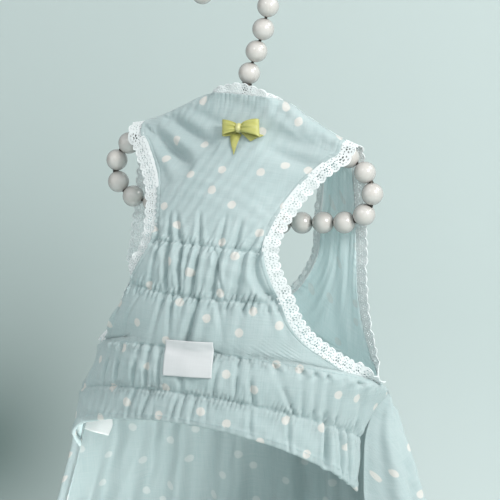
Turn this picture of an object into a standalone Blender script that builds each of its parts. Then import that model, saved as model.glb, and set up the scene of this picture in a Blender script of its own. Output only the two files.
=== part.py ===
"""Small dog dress hanging on a hanger made of pearl beads strung on bent wire.

Units are metres, +Z is up and the dress faces -Y. The origin is the point where the
hook hangs on its rail. The garment is modelled in its own frame, whose origin is the
top middle of the hanger's loop, and an empty carries that frame.
"""

import bpy
import bmesh
import numpy as np
from math import cos, sin, radians, pi
from mathutils import Matrix, Vector

# Hanger
BEAD_D = 0.0118
BEAD_PITCH = 0.0121
BEAD_SIDES = 10
BEAD_RINGS = 5
WIRE_D = 0.0024
COLLAR_D = 0.0052
COLLAR_LENGTH = 0.0110
LOOP_HALF_WIDTH = 0.0750
LOOP_DROP = 0.0610
HOOK_RADIUS = 0.0194
HOOK_RISE = 0.0560
HOOK_SHIFT = 0.0098
HOOK_FROM_DEG = -10.0
HOOK_TO_DEG = 175.0

# Cloth and clearances
CLOTH_T = 0.0010
LACE_T = 0.0008
SATIN_T = 0.0006
SEAT_GAP = 0.0004
SEAM_GAP = 0.0008
SIDE_GAP = 0.0013
EDGE_GAP = 0.0005

# Chest panel
NECK_HALF = 0.0205
NECK_RISE = 0.0068
SHOULDER_HALF = 0.0580
BODICE_HALF = 0.0840
CHEST_DEPTH = 0.0520
CHEST_LENGTH = 0.1620
CHEST_COLUMNS = 36
PUCKER_COUNT = 12
PUCKER_DEPTH = 0.0012
PUFF_DEPTH = 0.0016

# Back and skirt
BACK_DEPTH = 0.0300
WAIST_DROP = 0.1270
UNDERARM_DROP = 0.1400
SCOOP_DROP = 0.1100
SCOOP_HALF = 0.0385
WAIST_STEPS = 9
SKIRT_DROP = 0.2650
SKIRT_COLUMNS = 44
WAIST_EASE = 0.15
SKIRT_FLARE = 0.0180
BACK_LEAN = 0.0025
FLUTE_COUNT = 11
FLUTE_DEPTH = 0.0042

# Trim
ARM_LACE_W = 0.0075
NECK_LACE_W = 0.0060
SCOOP_LACE_W = 0.0035
SCALLOP_DEPTH = 0.0006
LACE_STEP = 0.0080
BOW_X = 0.0040
BOW_Z = -0.0120
BOW_TILT_DEG = 6.0
BOW_LOOP_LENGTH = 0.0080
BOW_LOOP_HEIGHT = 0.0078
BOW_LOOP_BULGE = 0.0018
BOW_TAIL_LENGTH = 0.0082
BOW_TAIL_WIDTH = 0.0046
BOW_TAIL_ANGLES_DEG = (-112.0, -28.0)
BOW_KNOT_WIDTH = 0.0036
BOW_KNOT_HEIGHT = 0.0052
BOW_GAP = 0.0003
LABEL_X = 0.0003
LABEL_Z = -0.1285
LABEL_W = 0.0275
LABEL_H = 0.0185
LABEL_TILT_DEG = 4.0
LABEL_GAP = 0.0006
CARE_W = 0.0130
CARE_H = 0.0150
CARE_DROP = 0.0040

# The loop's route, one half from the top middle to the bottom middle,
# as shares of LOOP_HALF_WIDTH and LOOP_DROP.
LOOP_ROUTE = (
    (0.000, 0.000), (0.267, -0.036), (0.480, -0.164), (0.653, -0.269), (0.800, -0.344),
    (0.920, -0.443), (1.000, -0.607), (0.960, -0.812), (0.820, -0.907), (0.647, -0.934),
    (0.480, -0.959), (0.320, -0.984), (0.000, -1.000),
)
# The stem's route from the loop to the hook, as shares of HOOK_SHIFT and HOOK_RISE.
STEM_ROUTE = ((0.0, 0.0), (0.04, 0.15), (0.10, 0.32), (0.43, 0.52), (0.75, 0.73))
# The first bead of each run that shows past the cloth, as a share of LOOP_HALF_WIDTH
# along the wire from the top middle, and how many beads the run has.
RIGHT_RUN = (0.867, 8)
LEFT_RUN = (0.985, 4)

# The chest panel's lines from the yoke to the hem. Columns: height at the middle and at
# the edge (shares of CHEST_LENGTH), half width at the edge (share of BODICE_HALF),
# depth at the middle and at the edge (shares of CHEST_DEPTH), half angle of the bend
# in degrees, how far the left and the right side are pushed to the right (shares of
# BODICE_HALF), and 1 where an elastic row is sewn.
CHEST_LINES = (
    ("yoke_top", -0.050, -0.136, 0.643, 0.205, 0.190, 30, 0.000, 0.000, 0),
    ("yoke_1", -0.099, -0.173, 0.577, 0.290, 0.280, 30, 0.000, 0.000, 0),
    ("yoke_2", -0.173, -0.235, 0.490, 0.420, 0.395, 30, 0.000, 0.000, 0),
    ("yoke_3", -0.253, -0.302, 0.429, 0.575, 0.523, 30, 0.000, 0.000, 0),
    ("yoke_4", -0.333, -0.364, 0.393, 0.710, 0.640, 30, 0.000, 0.000, 0),
    ("yoke_5", -0.395, -0.410, 0.381, 0.798, 0.704, 30, 0.000, 0.000, 0),
    ("elastic_1", -0.432, -0.438, 0.383, 0.840, 0.729, 30, 0.000, 0.000, 1),
    ("puff_1a", -0.475, -0.475, 0.402, 0.885, 0.750, 32, 0.000, 0.000, 0),
    ("puff_1b", -0.537, -0.531, 0.456, 0.923, 0.767, 34, 0.000, 0.000, 0),
    ("elastic_2", -0.599, -0.586, 0.521, 0.945, 0.756, 36, 0.000, 0.000, 1),
    ("puff_2a", -0.642, -0.660, 0.587, 0.962, 0.731, 42, 0.010, 0.000, 0),
    ("puff_2b", -0.679, -0.719, 0.679, 0.971, 0.662, 48, 0.030, 0.000, 0),
    ("puff_2c", -0.710, -0.762, 0.780, 0.981, 0.548, 57, 0.076, 0.000, 0),
    ("puff_2d", -0.738, -0.812, 0.888, 0.990, 0.352, 71, 0.107, 0.008, 0),
    ("elastic_3", -0.765, -0.864, 0.988, 0.985, -0.173, 98, 0.120, 0.012, 1),
    ("puff_3", -0.836, -0.945, 0.975, 1.020, -0.090, 94, 0.066, -0.010, 0),
    ("elastic_4", -0.907, -1.037, 0.950, 1.030, 0.000, 90, -0.044, -0.020, 1),
    ("hem_fold", -0.970, -1.160, 0.960, 1.055, 0.030, 88, -0.070, -0.030, 0),
    ("hem", -1.000, -1.210, 0.965, 1.060, 0.038, 88, -0.076, -0.030, 0),
)
# Soft folds of the yoke, mirrored. Columns: half-width and height where a fold starts
# and ends (shares of SHOULDER_HALF and CHEST_LENGTH), depth (share of CHEST_DEPTH) and
# width (share of SHOULDER_HALF).
YOKE_FOLDS = (
    (0.80, -0.10, 0.30, -0.20, 0.045, 0.090),
    (0.66, -0.07, 0.16, -0.10, 0.034, 0.070),
    (0.86, -0.16, 0.45, -0.33, 0.030, 0.100),
)
# Lines of the back yoke from the shoulder to the underarm, past which its lines turn
# evenly to the middle of the back. Columns: half
# width at the scoop (share of SCOOP_HALF) and height there (share of SCOOP_DROP), half
# width at the outer edge (share of BODICE_HALF) and height there (share of
# UNDERARM_DROP).
BACK_LINES = (
    ("strap_1", 1.080, -0.200, 0.702, -0.229),
    ("strap_2", 1.060, -0.364, 0.720, -0.357),
    ("strap_3", 1.000, -0.527, 0.738, -0.500),
    ("strap_4", 0.970, -0.691, 0.762, -0.643),
    ("strap_5", 0.760, -0.836, 0.821, -0.786),
    ("strap_6", 0.520, -0.927, 0.905, -0.907),
    ("underarm", 0.310, -0.968, 0.988, -0.993),
)
# Sections of the back. Columns: height (share of UNDERARM_DROP), half width (share of
# BODICE_HALF), depth at the edge and in the middle (shares of BACK_DEPTH), half angle.
BACK_SECTIONS = (
    (-0.05, 0.700, 0.20, 0.22, 30),
    (-0.21, 0.714, 0.24, 0.36, 30),
    (-0.43, 0.738, 0.28, 0.55, 35),
    (-0.64, 0.786, 0.30, 0.73, 45),
    (-0.82, 0.881, 0.30, 0.87, 60),
    (-0.93, 0.952, 0.30, 0.93, 75),
    (-1.00, 0.988, 0.30, 0.97, 88),
)
# Sections of the skirt. Columns: height (share of SKIRT_DROP), half width at the front
# edge (share of BODICE_HALF), depth there and in the middle of the back (shares of
# BACK_DEPTH, the back positive), half angle of the bend.
SKIRT_SECTIONS = (
    (-0.480, 0.988, 0.32, 0.97, 90),
    (-0.530, 0.986, 0.32, 1.02, 94),
    (-0.570, 0.966, 0.18, 1.20, 108),
    (-0.630, 0.950, 0.02, 1.35, 116),
    (-0.740, 0.965, -0.06, 1.60, 118),
    (-0.870, 1.050, -0.06, 1.90, 118),
    (-1.000, 1.150, -0.06, 2.15, 118),
)


def clear_scene():
    for item in list(bpy.data.objects):
        bpy.data.objects.remove(item, do_unlink=True)


def make_material(name, colour, roughness, metallic=0.0):
    material = bpy.data.materials.new(name)
    material.use_nodes = True
    shader = material.node_tree.nodes["Principled BSDF"]
    shader.inputs["Base Color"].default_value = (*colour, 1.0)
    shader.inputs["Roughness"].default_value = roughness
    shader.inputs["Metallic"].default_value = metallic
    material.diffuse_color = (*colour, 1.0)
    return material


def smooth_route(points, steps, closed):
    """Points along a smooth curve through the given ones."""
    count = len(points)
    spans = count if closed else count - 1
    route = []
    for span in range(spans):
        ends = [span - 1, span, span + 1, span + 2]
        if closed:
            ends = [end % count for end in ends]
        else:
            ends = [min(max(end, 0), count - 1) for end in ends]
        a, b, c, d = (np.array(points[end], float) for end in ends)
        for step in range(steps):
            t = step / steps
            bend = (2 * a - 5 * b + 4 * c - d) * t * t + (3 * b - a - 3 * c + d) * t ** 3
            route.append(0.5 * (2 * b + (c - a) * t + bend))
    if not closed:
        route.append(np.array(points[-1], float))
    return np.array(route)


def walk(route, distances, closed):
    """Points at the given distances along a route of many short steps."""
    line = np.vstack([route, route[:1]]) if closed else route
    steps = np.linalg.norm(np.diff(line, axis=0), axis=1)
    along = np.concatenate([[0.0], np.cumsum(steps)])
    distances = np.mod(distances, along[-1]) if closed else np.array(distances)
    return np.stack([np.interp(distances, along, line[:, k]) for k in range(3)], axis=1)


def route_length(route, closed):
    line = np.vstack([route, route[:1]]) if closed else route
    return float(np.linalg.norm(np.diff(line, axis=0), axis=1).sum())


def loop_route():
    right = [(x * LOOP_HALF_WIDTH, 0.0, z * LOOP_DROP) for x, z in LOOP_ROUTE]
    left = [(-x, y, z) for x, y, z in reversed(right[1:-1])]
    return smooth_route(right + left, 12, True)


def hook_route():
    stem = [(x * HOOK_SHIFT, 0.0, z * HOOK_RISE) for x, z in STEM_ROUTE]
    turns = np.radians(np.linspace(HOOK_FROM_DEG, HOOK_TO_DEG, 12))
    bend = [(HOOK_RADIUS * cos(a) - HOOK_SHIFT, 0.0, HOOK_RISE + HOOK_RADIUS * sin(a)) for a in turns]
    return smooth_route(stem + bend, 8, False)


def loop_bead_places(route):
    """Distances of the beads: two runs that show, and even spacing in between."""
    whole = route_length(route, True)
    right = [RIGHT_RUN[0] * LOOP_HALF_WIDTH + k * BEAD_PITCH for k in range(RIGHT_RUN[1])]
    left = [whole - LEFT_RUN[0] * LOOP_HALF_WIDTH - k * BEAD_PITCH for k in range(LEFT_RUN[1])]
    places = right + left
    for start, end in ((right[-1], left[-1]), (left[0] - whole, right[0])):
        gaps = int((end - start) / BEAD_PITCH)
        places += [start + (end - start) * k / gaps for k in range(1, gaps)]
    return sorted(place % whole for place in places)


def wire_curve(name, route, diameter, closed, collection):
    """A wire as a poly curve with a round bevel, turned into a welded mesh."""
    curve = bpy.data.curves.new(name, "CURVE")
    curve.dimensions = "3D"
    curve.bevel_depth = diameter / 2
    curve.bevel_resolution = 1
    curve.use_fill_caps = True
    spline = curve.splines.new("POLY")
    spline.points.add(len(route) - 1)
    for point, place in zip(spline.points, route):
        point.co = (*place, 1.0)
    spline.use_cyclic_u = closed
    source = bpy.data.objects.new(name + "_curve", curve)
    collection.objects.link(source)
    bpy.context.view_layer.update()
    evaluated = source.evaluated_get(bpy.context.evaluated_depsgraph_get())
    mesh = bpy.data.meshes.new_from_object(evaluated)
    bpy.data.objects.remove(source, do_unlink=True)
    work = bmesh.new()
    work.from_mesh(mesh)
    bmesh.ops.remove_doubles(work, verts=work.verts, dist=1e-5)
    bmesh.ops.recalc_face_normals(work, faces=work.faces)
    work.to_mesh(mesh)
    work.free()
    wire = bpy.data.objects.new(name, mesh)
    collection.objects.link(wire)
    return wire


def bead_string_mesh(name, places, directions):
    """Loose beads in one mesh, each with its poles along the wire."""
    work = bmesh.new()
    for place, direction in zip(places, directions):
        turn = Vector(direction).to_track_quat("Z", "Y").to_matrix().to_4x4()
        bmesh.ops.create_uvsphere(
            work, u_segments=BEAD_SIDES, v_segments=BEAD_RINGS, radius=BEAD_D / 2,
            matrix=Matrix.Translation(Vector(place)) @ turn,
        )
    mesh = bpy.data.meshes.new(name)
    work.to_mesh(mesh)
    work.free()
    return mesh


def collar_mesh(name):
    """The metal sleeve where the stem leaves the loop."""
    work = bmesh.new()
    bmesh.ops.create_cone(
        work, cap_ends=True, segments=BEAD_SIDES, radius1=COLLAR_D / 2, radius2=COLLAR_D / 2,
        depth=COLLAR_LENGTH, matrix=Matrix.Translation((0.0, 0.0, BEAD_D * 0.35 + COLLAR_LENGTH / 2)),
    )
    mesh = bpy.data.meshes.new(name)
    work.to_mesh(mesh)
    work.free()
    return mesh


def add_union(target, cutter):
    """Joins a solid to the target and marks the joined-in solid as a guide."""
    union = target.modifiers.new("join_" + cutter.name, "BOOLEAN")
    union.operation = "UNION"
    union.object = cutter
    cutter.hide_render = True
    cutter.display_type = "WIRE"


def build_hanger(parts, guides, frame):
    loop = loop_route()
    hook = hook_route()
    loop_places = loop_bead_places(loop)
    hook_whole = route_length(hook, False)
    hook_first = HOOK_RISE * 0.316
    hook_count = int(round((hook_whole - hook_first) / BEAD_PITCH))
    hook_places = np.linspace(hook_first, hook_whole, hook_count + 1)
    probe = BEAD_D * 0.2
    at_loop = walk(loop, loop_places, True)
    along_loop = walk(loop, np.array(loop_places) + probe, True) - at_loop
    at_hook = walk(hook, hook_places, False)
    along_hook = at_hook - walk(hook, hook_places - probe, False)
    places = list(at_loop) + list(at_hook)
    directions = list(along_loop) + list(along_hook)
    beads = bpy.data.objects.new("bead_hanger", bead_string_mesh("bead_hanger", places, directions))
    parts.objects.link(beads)
    loop_wire = wire_curve("loop_wire", at_loop, WIRE_D, True, guides)
    hook_wire = wire_curve("hook_wire", np.vstack([hook[:1], at_hook]), WIRE_D, False, guides)
    collar = bpy.data.objects.new("stem_collar", collar_mesh("stem_collar"))
    guides.objects.link(collar)
    for piece in (loop_wire, hook_wire, collar):
        add_union(beads, piece)
        piece.parent = frame
    finish_piece(beads, frame, "pearl")
    return beads


def table_values(table, height):
    """Columns of a table of sections read at a height, tables running downwards."""
    rows = np.array(table, float)
    keys = -rows[:, 0]
    return [np.interp(-height, keys, rows[:, k]) for k in range(1, rows.shape[1])]


def bend(share, half_width, edge_depth, middle_depth, half_angle):
    """Half width and depth at a share of the way from the middle to the edge."""
    angle = radians(half_angle)
    turn = share * angle
    x = half_width * np.sin(turn) / sin(angle)
    fall = (np.cos(turn) - cos(angle)) / (1.0 - cos(angle))
    return x, edge_depth + (middle_depth - edge_depth) * fall


def smooth_step(value, start, end):
    t = np.clip((value - start) / (end - start), 0.0, 1.0)
    return t * t * (3.0 - 2.0 * t)


def shoulder_line(x):
    """Height of the cloth that lies over the hanger's beads."""
    loop = loop_route()
    top = loop[: len(loop) // 2]
    top = top[top[:, 2] > -0.5 * LOOP_DROP]
    order = np.argsort(top[:, 0])
    at = np.interp(np.abs(x), top[order, 0], top[order, 2])
    ahead = np.interp(np.abs(x) + CLOTH_T, top[order, 0], top[order, 2])
    slope = (ahead - at) / CLOTH_T
    over = BEAD_D / 2 + SEAT_GAP + CLOTH_T / 2
    return at + over * np.sqrt(1.0 + slope ** 2)


def arch_radius():
    return BEAD_D / 2 + SEAT_GAP + CLOTH_T / 2


def top_lines(share, half_width):
    """Three lines of the chest panel over the hanger: seam, arch and front of the beads."""
    x = share * half_width
    top = shoulder_line(x)
    radius = arch_radius()
    over = smooth_step(np.abs(x), NECK_HALF * 0.72, NECK_HALF * 1.04)
    neck = NECK_RISE - (np.abs(x) / NECK_HALF) ** 2 * NECK_RISE * 0.10
    lines = []
    for turn, neck_drop in ((-8.0, 0.00), (35.0, 0.28), (80.0, 0.75)):
        arch_y = -radius * sin(radians(turn))
        arch_z = top - radius * (1.0 - cos(radians(turn)))
        neck_y = -radius * 1.08
        neck_z = neck - neck_drop * NECK_RISE
        lines.append((x, arch_y * over + neck_y * (1 - over), arch_z * over + neck_z * (1 - over)))
    return lines


def chest_lines(shares):
    """The chest panel's lines before folds: a list of arrays of points."""
    lines = [np.stack(line, axis=1) for line in top_lines(shares, SHOULDER_HALF)]
    for row in CHEST_LINES:
        middle_z, edge_z, half_width, middle_depth, edge_depth, angle, left, right = row[1:9]
        x, depth = bend(shares, half_width * BODICE_HALF, edge_depth * CHEST_DEPTH,
                        middle_depth * CHEST_DEPTH, angle)
        turn = radians(angle)
        drop = (1.0 - np.cos(shares * turn)) / (1.0 - cos(turn))
        z = (middle_z + (edge_z - middle_z) * drop) * CHEST_LENGTH
        push = left * smooth_step(-shares, 0.15, 0.65) + right * smooth_step(shares, 0.15, 0.65)
        lines.append(np.stack([x + push * BODICE_HALF, -depth, z], axis=1))
    return np.array(lines)


def mirrored(grid):
    return grid * np.array([-1.0, 1.0, 1.0])


def grid_normals(grid):
    """Unit normals of a grid of points, lines down and shares across."""
    across = np.gradient(grid, axis=1)
    down = np.gradient(grid, axis=0)
    normal = np.cross(down, across)
    return normal / np.maximum(np.linalg.norm(normal, axis=2, keepdims=True), 1e-12)


def yoke_fold_depth(x, z):
    """How far the soft folds of the yoke push the cloth in."""
    depth = np.zeros_like(x)
    for side in (-1.0, 1.0):
        for x0, z0, x1, z1, fold, width in YOKE_FOLDS:
            start = np.array([side * x0 * SHOULDER_HALF, z0 * CHEST_LENGTH])
            run = np.array([side * (x1 - x0) * SHOULDER_HALF, (z1 - z0) * CHEST_LENGTH])
            along = ((x - start[0]) * run[0] + (z - start[1]) * run[1]) / run.dot(run)
            near = np.clip(along, 0.0, 1.0)
            away = np.hypot(x - start[0] - near * run[0], z - start[1] - near * run[1])
            fade = np.sin(pi * np.clip(0.15 + 0.85 * near, 0.0, 1.0))
            depth += fold * CHEST_DEPTH * fade * np.exp(-(away / (width * SHOULDER_HALF)) ** 2)
    return depth


def chest_grid(crests_only=False):
    """The chest panel with its gathers between the elastic rows and its soft folds.

    With crests_only it is the smooth surface that the crests of the gathers touch.
    """
    shares = np.linspace(-1.0, 1.0, CHEST_COLUMNS + 1)
    base = chest_lines(shares)
    normal = grid_normals(base)
    elastic = [3 + k for k, row in enumerate(CHEST_LINES) if row[9]]
    last = len(base) - 1
    stops = [0] + elastic + [last]
    gather = np.cos(2 * pi * PUCKER_COUNT * (shares + 1.0) / 2.0)
    if crests_only:
        gather = np.ones_like(gather)
    edge_fade = 1.0 - np.abs(shares) ** 6
    offset = np.zeros(base.shape[:2])
    for line in range(len(base)):
        before = max(stop for stop in stops if stop <= line)
        after = min(stop for stop in stops if stop >= line)
        share = 0.0 if after == before else (line - before) / (after - before)
        if line >= elastic[0]:
            puff = sin(pi * share) * (0.4 if line > elastic[-1] else 1.0)
            offset[line] = PUFF_DEPTH * puff + PUCKER_DEPTH * gather * (0.55 + 0.45 * puff)
        elif line == elastic[0] - 1:
            offset[line] = 0.6 * PUCKER_DEPTH * gather
        elif line < 3:
            near_neck = 1.0 - smooth_step(np.abs(base[line, :, 0]), NECK_HALF * 0.7, NECK_HALF)
            offset[line] = -0.5 * PUCKER_DEPTH * (1.0 - gather) * near_neck
    folds = yoke_fold_depth(base[3:elastic[0], :, 0], base[3:elastic[0], :, 2])
    offset[3:elastic[0]] -= folds
    return base + normal * (offset * edge_fade)[:, :, None]


def waist_height(x):
    share = np.clip(np.abs(x) / BODICE_HALF, 0.0, 1.0)
    return -WAIST_DROP - (UNDERARM_DROP - WAIST_DROP) * share ** 2


def back_depth(x, z):
    """Depth of the back behind the hanger's plane."""
    half_width, edge, middle, angle = table_values(BACK_SECTIONS, z / UNDERARM_DROP)
    turn = radians(float(angle))
    half = float(half_width) * BODICE_HALF
    bent = np.arcsin(np.clip(abs(x) / half * sin(turn), -1.0, 1.0))
    fall = (np.cos(bent) - cos(turn)) / (1.0 - cos(turn))
    return BACK_DEPTH * float(edge + (middle - edge) * fall)


def back_point(x, z):
    """A point of the back, bent over the hanger's beads near the shoulder line."""
    below = max(float(shoulder_line(x)) - z, 0.0)
    radius = arch_radius()
    bent = radius if below >= radius else (radius ** 2 - (radius - below) ** 2) ** 0.5
    depth = max(bent, back_depth(x, z) * float(smooth_step(below, 0.0, radius * 2.2)))
    return (x, depth, z)


def lean_back(grid):
    """The back sways sideways between the shoulders and the waist."""
    share = np.clip((-grid[..., 2] - arch_radius()) / (WAIST_DROP - arch_radius()), 0.0, 1.0)
    leant = grid.copy()
    leant[..., 0] += BACK_LEAN * np.sin(pi * share)
    return leant


def back_side_lines(across):
    """Lines of one side of the back, from the shoulder seam to the middle."""
    lines = []
    seam_turn = 8.0 + np.degrees(SEAM_GAP / arch_radius())
    for turn in (seam_turn, 42.0, 85.0):
        line = []
        for share in across:
            x = NECK_HALF * 1.05 + (SHOULDER_HALF - NECK_HALF * 1.05) * share
            top = float(shoulder_line(x))
            bend_y = arch_radius() * sin(radians(turn))
            line.append((x, bend_y, top - arch_radius() * (1.0 - cos(radians(turn)))))
        lines.append(line)
    ends = [(x0 * SCOOP_HALF, z0 * SCOOP_DROP, x1 * BODICE_HALF, z1 * UNDERARM_DROP)
            for name, x0, z0, x1, z1 in BACK_LINES]
    x_in, z_in, x_out = ends[-1][:3]
    for step in range(1, WAIST_STEPS + 1):
        turn = pi / 2 * step / WAIST_STEPS
        low = -SCOOP_DROP + (z_in + SCOOP_DROP) * (1.0 - sin(turn))
        ends.append((x_in * cos(turn), low, x_out * cos(turn), float(waist_height(x_out * cos(turn)))))
    for x0, z0, x1, z1 in ends:
        lines.append([back_point(x0 + (x1 - x0) * s, z0 + (z1 - z0) * s) for s in across])
    return np.array(lines)


def back_grid():
    across = np.linspace(0.0, 1.0, 6)
    right = back_side_lines(across)
    return lean_back(np.concatenate([right, mirrored(right[:-1][::-1])]))


def side_seam(chest, side, z):
    """Where the chest panel's side edge is at a height, held at its two ends."""
    sewn = 3 + [row[0] for row in CHEST_LINES].index("elastic_3")
    edge = chest[sewn:, -1 if side > 0 else 0]
    return float(np.interp(-z, -edge[:, 2], edge[:, 0])), float(np.interp(-z, -edge[:, 2], edge[:, 1]))


def skirt_point(chest, share, z):
    """A point of the skirt before its flutes. Its front edges are sewn to the chest."""
    half_width, edge, middle, angle = (float(v) for v in table_values(SKIRT_SECTIONS, z / SKIRT_DROP))
    x, y = bend(share, half_width * BODICE_HALF, edge * BACK_DEPTH, middle * BACK_DEPTH, angle)
    side = 1.0 if share > 0 else -1.0
    hem_z = float(chest[-1, 0, 2])
    sewn_z = max(z, hem_z)
    plain_half, plain_edge = (float(v) for v in table_values(SKIRT_SECTIONS, sewn_z / SKIRT_DROP)[:2])
    seam_x, seam_y = side_seam(chest, side, sewn_z)
    near = float(smooth_step(abs(share), 0.2, 0.95))
    x += near * (seam_x - side * plain_half * BODICE_HALF)
    y += near * (seam_y + SIDE_GAP - plain_edge * BACK_DEPTH)
    flank = float(smooth_step(share, 0.15, 0.7)) * (1.0 - 0.8 * float(smooth_step(share, 0.85, 1.0)))
    x += SKIRT_FLARE * flank * float(smooth_step(-z, WAIST_DROP, SKIRT_DROP * 0.80))
    return x, y, z


def skirt_grid(chest):
    """The skirt from one front edge round the back to the other, top to hem."""
    shares = np.linspace(-1.0, 1.0, SKIRT_COLUMNS + 1)
    downs = np.array([0.0, 0.08, 0.18, 0.30, 0.42, 0.58, 0.78, 1.0])
    grid = np.zeros((len(downs), len(shares), 3))
    for column, share in enumerate(shares):
        top_x = BODICE_HALF * BACK_LINES[-1][3] * sin(share * pi / 2)
        top_z = float(waist_height(top_x))
        behind = SIDE_GAP * float(smooth_step(abs(share), 0.8, 1.0))
        sewn = np.array((top_x, back_depth(top_x, top_z) + behind, top_z - SEAM_GAP))
        for line, down in enumerate(downs):
            z = sewn[2] + down * (-SKIRT_DROP - sewn[2])
            ease = min(down / (WAIST_EASE * (1.0 - 0.9 * share ** 6)), 1.0)
            grid[line, column] = sewn * (1.0 - ease) + np.array(skirt_point(chest, share, z)) * ease
            grid[line, column, 2] = z
    flute = np.cos(pi * FLUTE_COUNT * (shares + 1.0) + 0.8 * np.sin(3.0 * shares))
    edge_fade = 1.0 - np.abs(shares) ** 8
    size = FLUTE_DEPTH * downs[:, None] ** 0.7 * flute * edge_fade
    return grid - grid_normals(grid) * size[:, :, None]


def lace_strip(edge, outward, normals, widths):
    """A closed strip that runs along an edge and stands off it by a small gap.

    Its steps break at the edge's own points, so that the two stay side by side.
    The width is one number, or a number for each point of the edge.
    """
    for turn in range(3):
        outward = (np.roll(outward, 1, axis=0) + 2 * outward + np.roll(outward, -1, axis=0)) / 4
        outward /= np.linalg.norm(outward, axis=1, keepdims=True)
    stack = np.hstack([edge, outward, normals, np.broadcast_to(widths, len(edge))[:, None]])
    fine = []
    for here, ahead in zip(stack, np.roll(stack, -1, axis=0)):
        pieces = max(1, int(round(np.linalg.norm(ahead[:3] - here[:3]) / LACE_STEP)))
        fine += [here + (ahead - here) * k / pieces for k in range(pieces)]
    fine = np.array(fine)
    base, away, normal, width = fine[:, :3], fine[:, 3:6], fine[:, 6:9], fine[:, 9:]
    away = away / np.linalg.norm(away, axis=1, keepdims=True)
    normal = normal / np.linalg.norm(normal, axis=1, keepdims=True)
    wave = np.where(np.arange(len(fine)) % 2 == 0, 1.0, -1.0)[:, None]
    inner = base + away * EDGE_GAP
    middle = base + away * width * 0.55 + normal * wave * SCALLOP_DEPTH * 0.5
    outer = base + away * (width + wave * SCALLOP_DEPTH) - normal * wave * SCALLOP_DEPTH * 0.5
    return np.stack([inner, middle, outer])


def edge_frame(grid, column):
    """Outward directions and normals along a grid's side edge."""
    normal = grid_normals(grid)[:, column]
    edge = grid[:, column]
    tangent = np.gradient(edge, axis=0)
    tangent /= np.linalg.norm(tangent, axis=1, keepdims=True)
    outward = np.cross(tangent, normal)
    inner = grid[:, column - 1 if column == -1 or column > 0 else column + 1]
    flip = np.sign(np.sum(outward * (edge - inner), axis=1))
    return edge, outward * flip[:, None], normal


def armhole_lace(chest, back_side):
    """The right armhole's strip, from the shoulder tip round the armhole."""
    underarm_front = 3 + [row[0] for row in CHEST_LINES].index("elastic_3")
    underarm_back = 3 + [row[0] for row in BACK_LINES].index("underarm")
    front_edge, front_out, front_normal = edge_frame(chest, -1)
    back_edge, back_out, back_normal = edge_frame(back_side, -1)
    front = slice(0, underarm_front)
    back = slice(underarm_back - 1, None, -1)
    edge = np.vstack([front_edge[front], back_edge[back]])
    outward = np.vstack([front_out[front], back_out[back]])
    normals = np.vstack([front_normal[front], -back_normal[back]])
    return lace_strip(edge, outward, normals, ARM_LACE_W)


def neck_lace(chest, back):
    """The neckline's strip: it stands up at the front and lines the scoop behind."""
    shares = np.linspace(-1.0, 1.0, CHEST_COLUMNS + 1)
    inside = np.abs(shares) * SHOULDER_HALF < NECK_HALF * 1.02
    front = chest[0][inside]
    up = np.tile([0.0, -0.12, 1.0], (len(front), 1))
    inner, outward, normal = edge_frame(back, 0)
    edge = np.vstack([front, inner[1:-1]])
    outward = np.vstack([up, outward[1:-1]])
    ahead = np.tile([0.0, -1.0, 0.0], (len(edge), 1))
    crown = 1.0 - np.clip(np.abs(front[:, 0]) / NECK_HALF, 0.0, 1.0) ** 2
    standing = SCOOP_LACE_W + (NECK_LACE_W - SCOOP_LACE_W) * crown
    widths = np.concatenate([standing, np.full(len(inner) - 2, SCOOP_LACE_W)])
    return lace_strip(edge, outward, ahead, widths)


def grid_mesh(name, grid, closed_across=False):
    """A mesh of quads through a grid of points."""
    lines, columns = grid.shape[:2]
    verts = [tuple(point) for line in grid for point in line]
    faces = []
    for line in range(lines - 1):
        for column in range(columns if closed_across else columns - 1):
            ahead = (column + 1) % columns
            a, b = line * columns + column, line * columns + ahead
            c, d = (line + 1) * columns + ahead, (line + 1) * columns + column
            faces.append((a, b, c, d))
    mesh = bpy.data.meshes.new(name)
    mesh.from_pydata(verts, [], faces)
    mesh.update()
    return mesh


def finish_piece(item, frame, material_name):
    item.parent = frame
    item.data.materials.append(bpy.data.materials[material_name])
    item.data.shade_smooth()


def cloth_piece(name, grid, thickness, parts, frame, material_name, closed_across=False):
    """An open surface given the cloth's thickness on both sides of it."""
    item = bpy.data.objects.new(name, grid_mesh(name, grid, closed_across))
    parts.objects.link(item)
    wall = item.modifiers.new("wall", "SOLIDIFY")
    wall.thickness = thickness
    wall.offset = 0.0
    finish_piece(item, frame, material_name)
    return item


def read_grid(grid, values, x, z):
    """A value of the chest panel at a place given by its width and height."""
    at_x = np.array([[np.interp(x, line[:, 0], value[:, k]) for k in range(values.shape[2])]
                     for line, value in zip(grid, values)])
    heights = np.array([np.interp(x, line[:, 0], line[:, 2]) for line in grid])
    return np.array([np.interp(-z, -heights, at_x[:, k]) for k in range(values.shape[2])])


def lay_on(grid, normals, x, z, lift):
    """A point that lies over the chest panel at a given height above its surface."""
    point = read_grid(grid, grid, x, z)
    normal = read_grid(grid, normals, x, z)
    return point + normal / np.linalg.norm(normal) * lift


def flat_piece(crests, middle, size, tilt_deg, lift, columns, rows):
    """A small flat piece that lies on the chest panel."""
    normals = grid_normals(crests)
    turn = radians(tilt_deg)
    grid = []
    for down in np.linspace(0.5, -0.5, rows):
        line = []
        for across in np.linspace(-0.5, 0.5, columns):
            x = middle[0] + across * size[0] * cos(turn) - down * size[1] * sin(turn)
            z = middle[1] + across * size[0] * sin(turn) + down * size[1] * cos(turn)
            line.append(lay_on(crests, normals, x, z, lift))
        grid.append(line)
    return np.array(grid)


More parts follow.
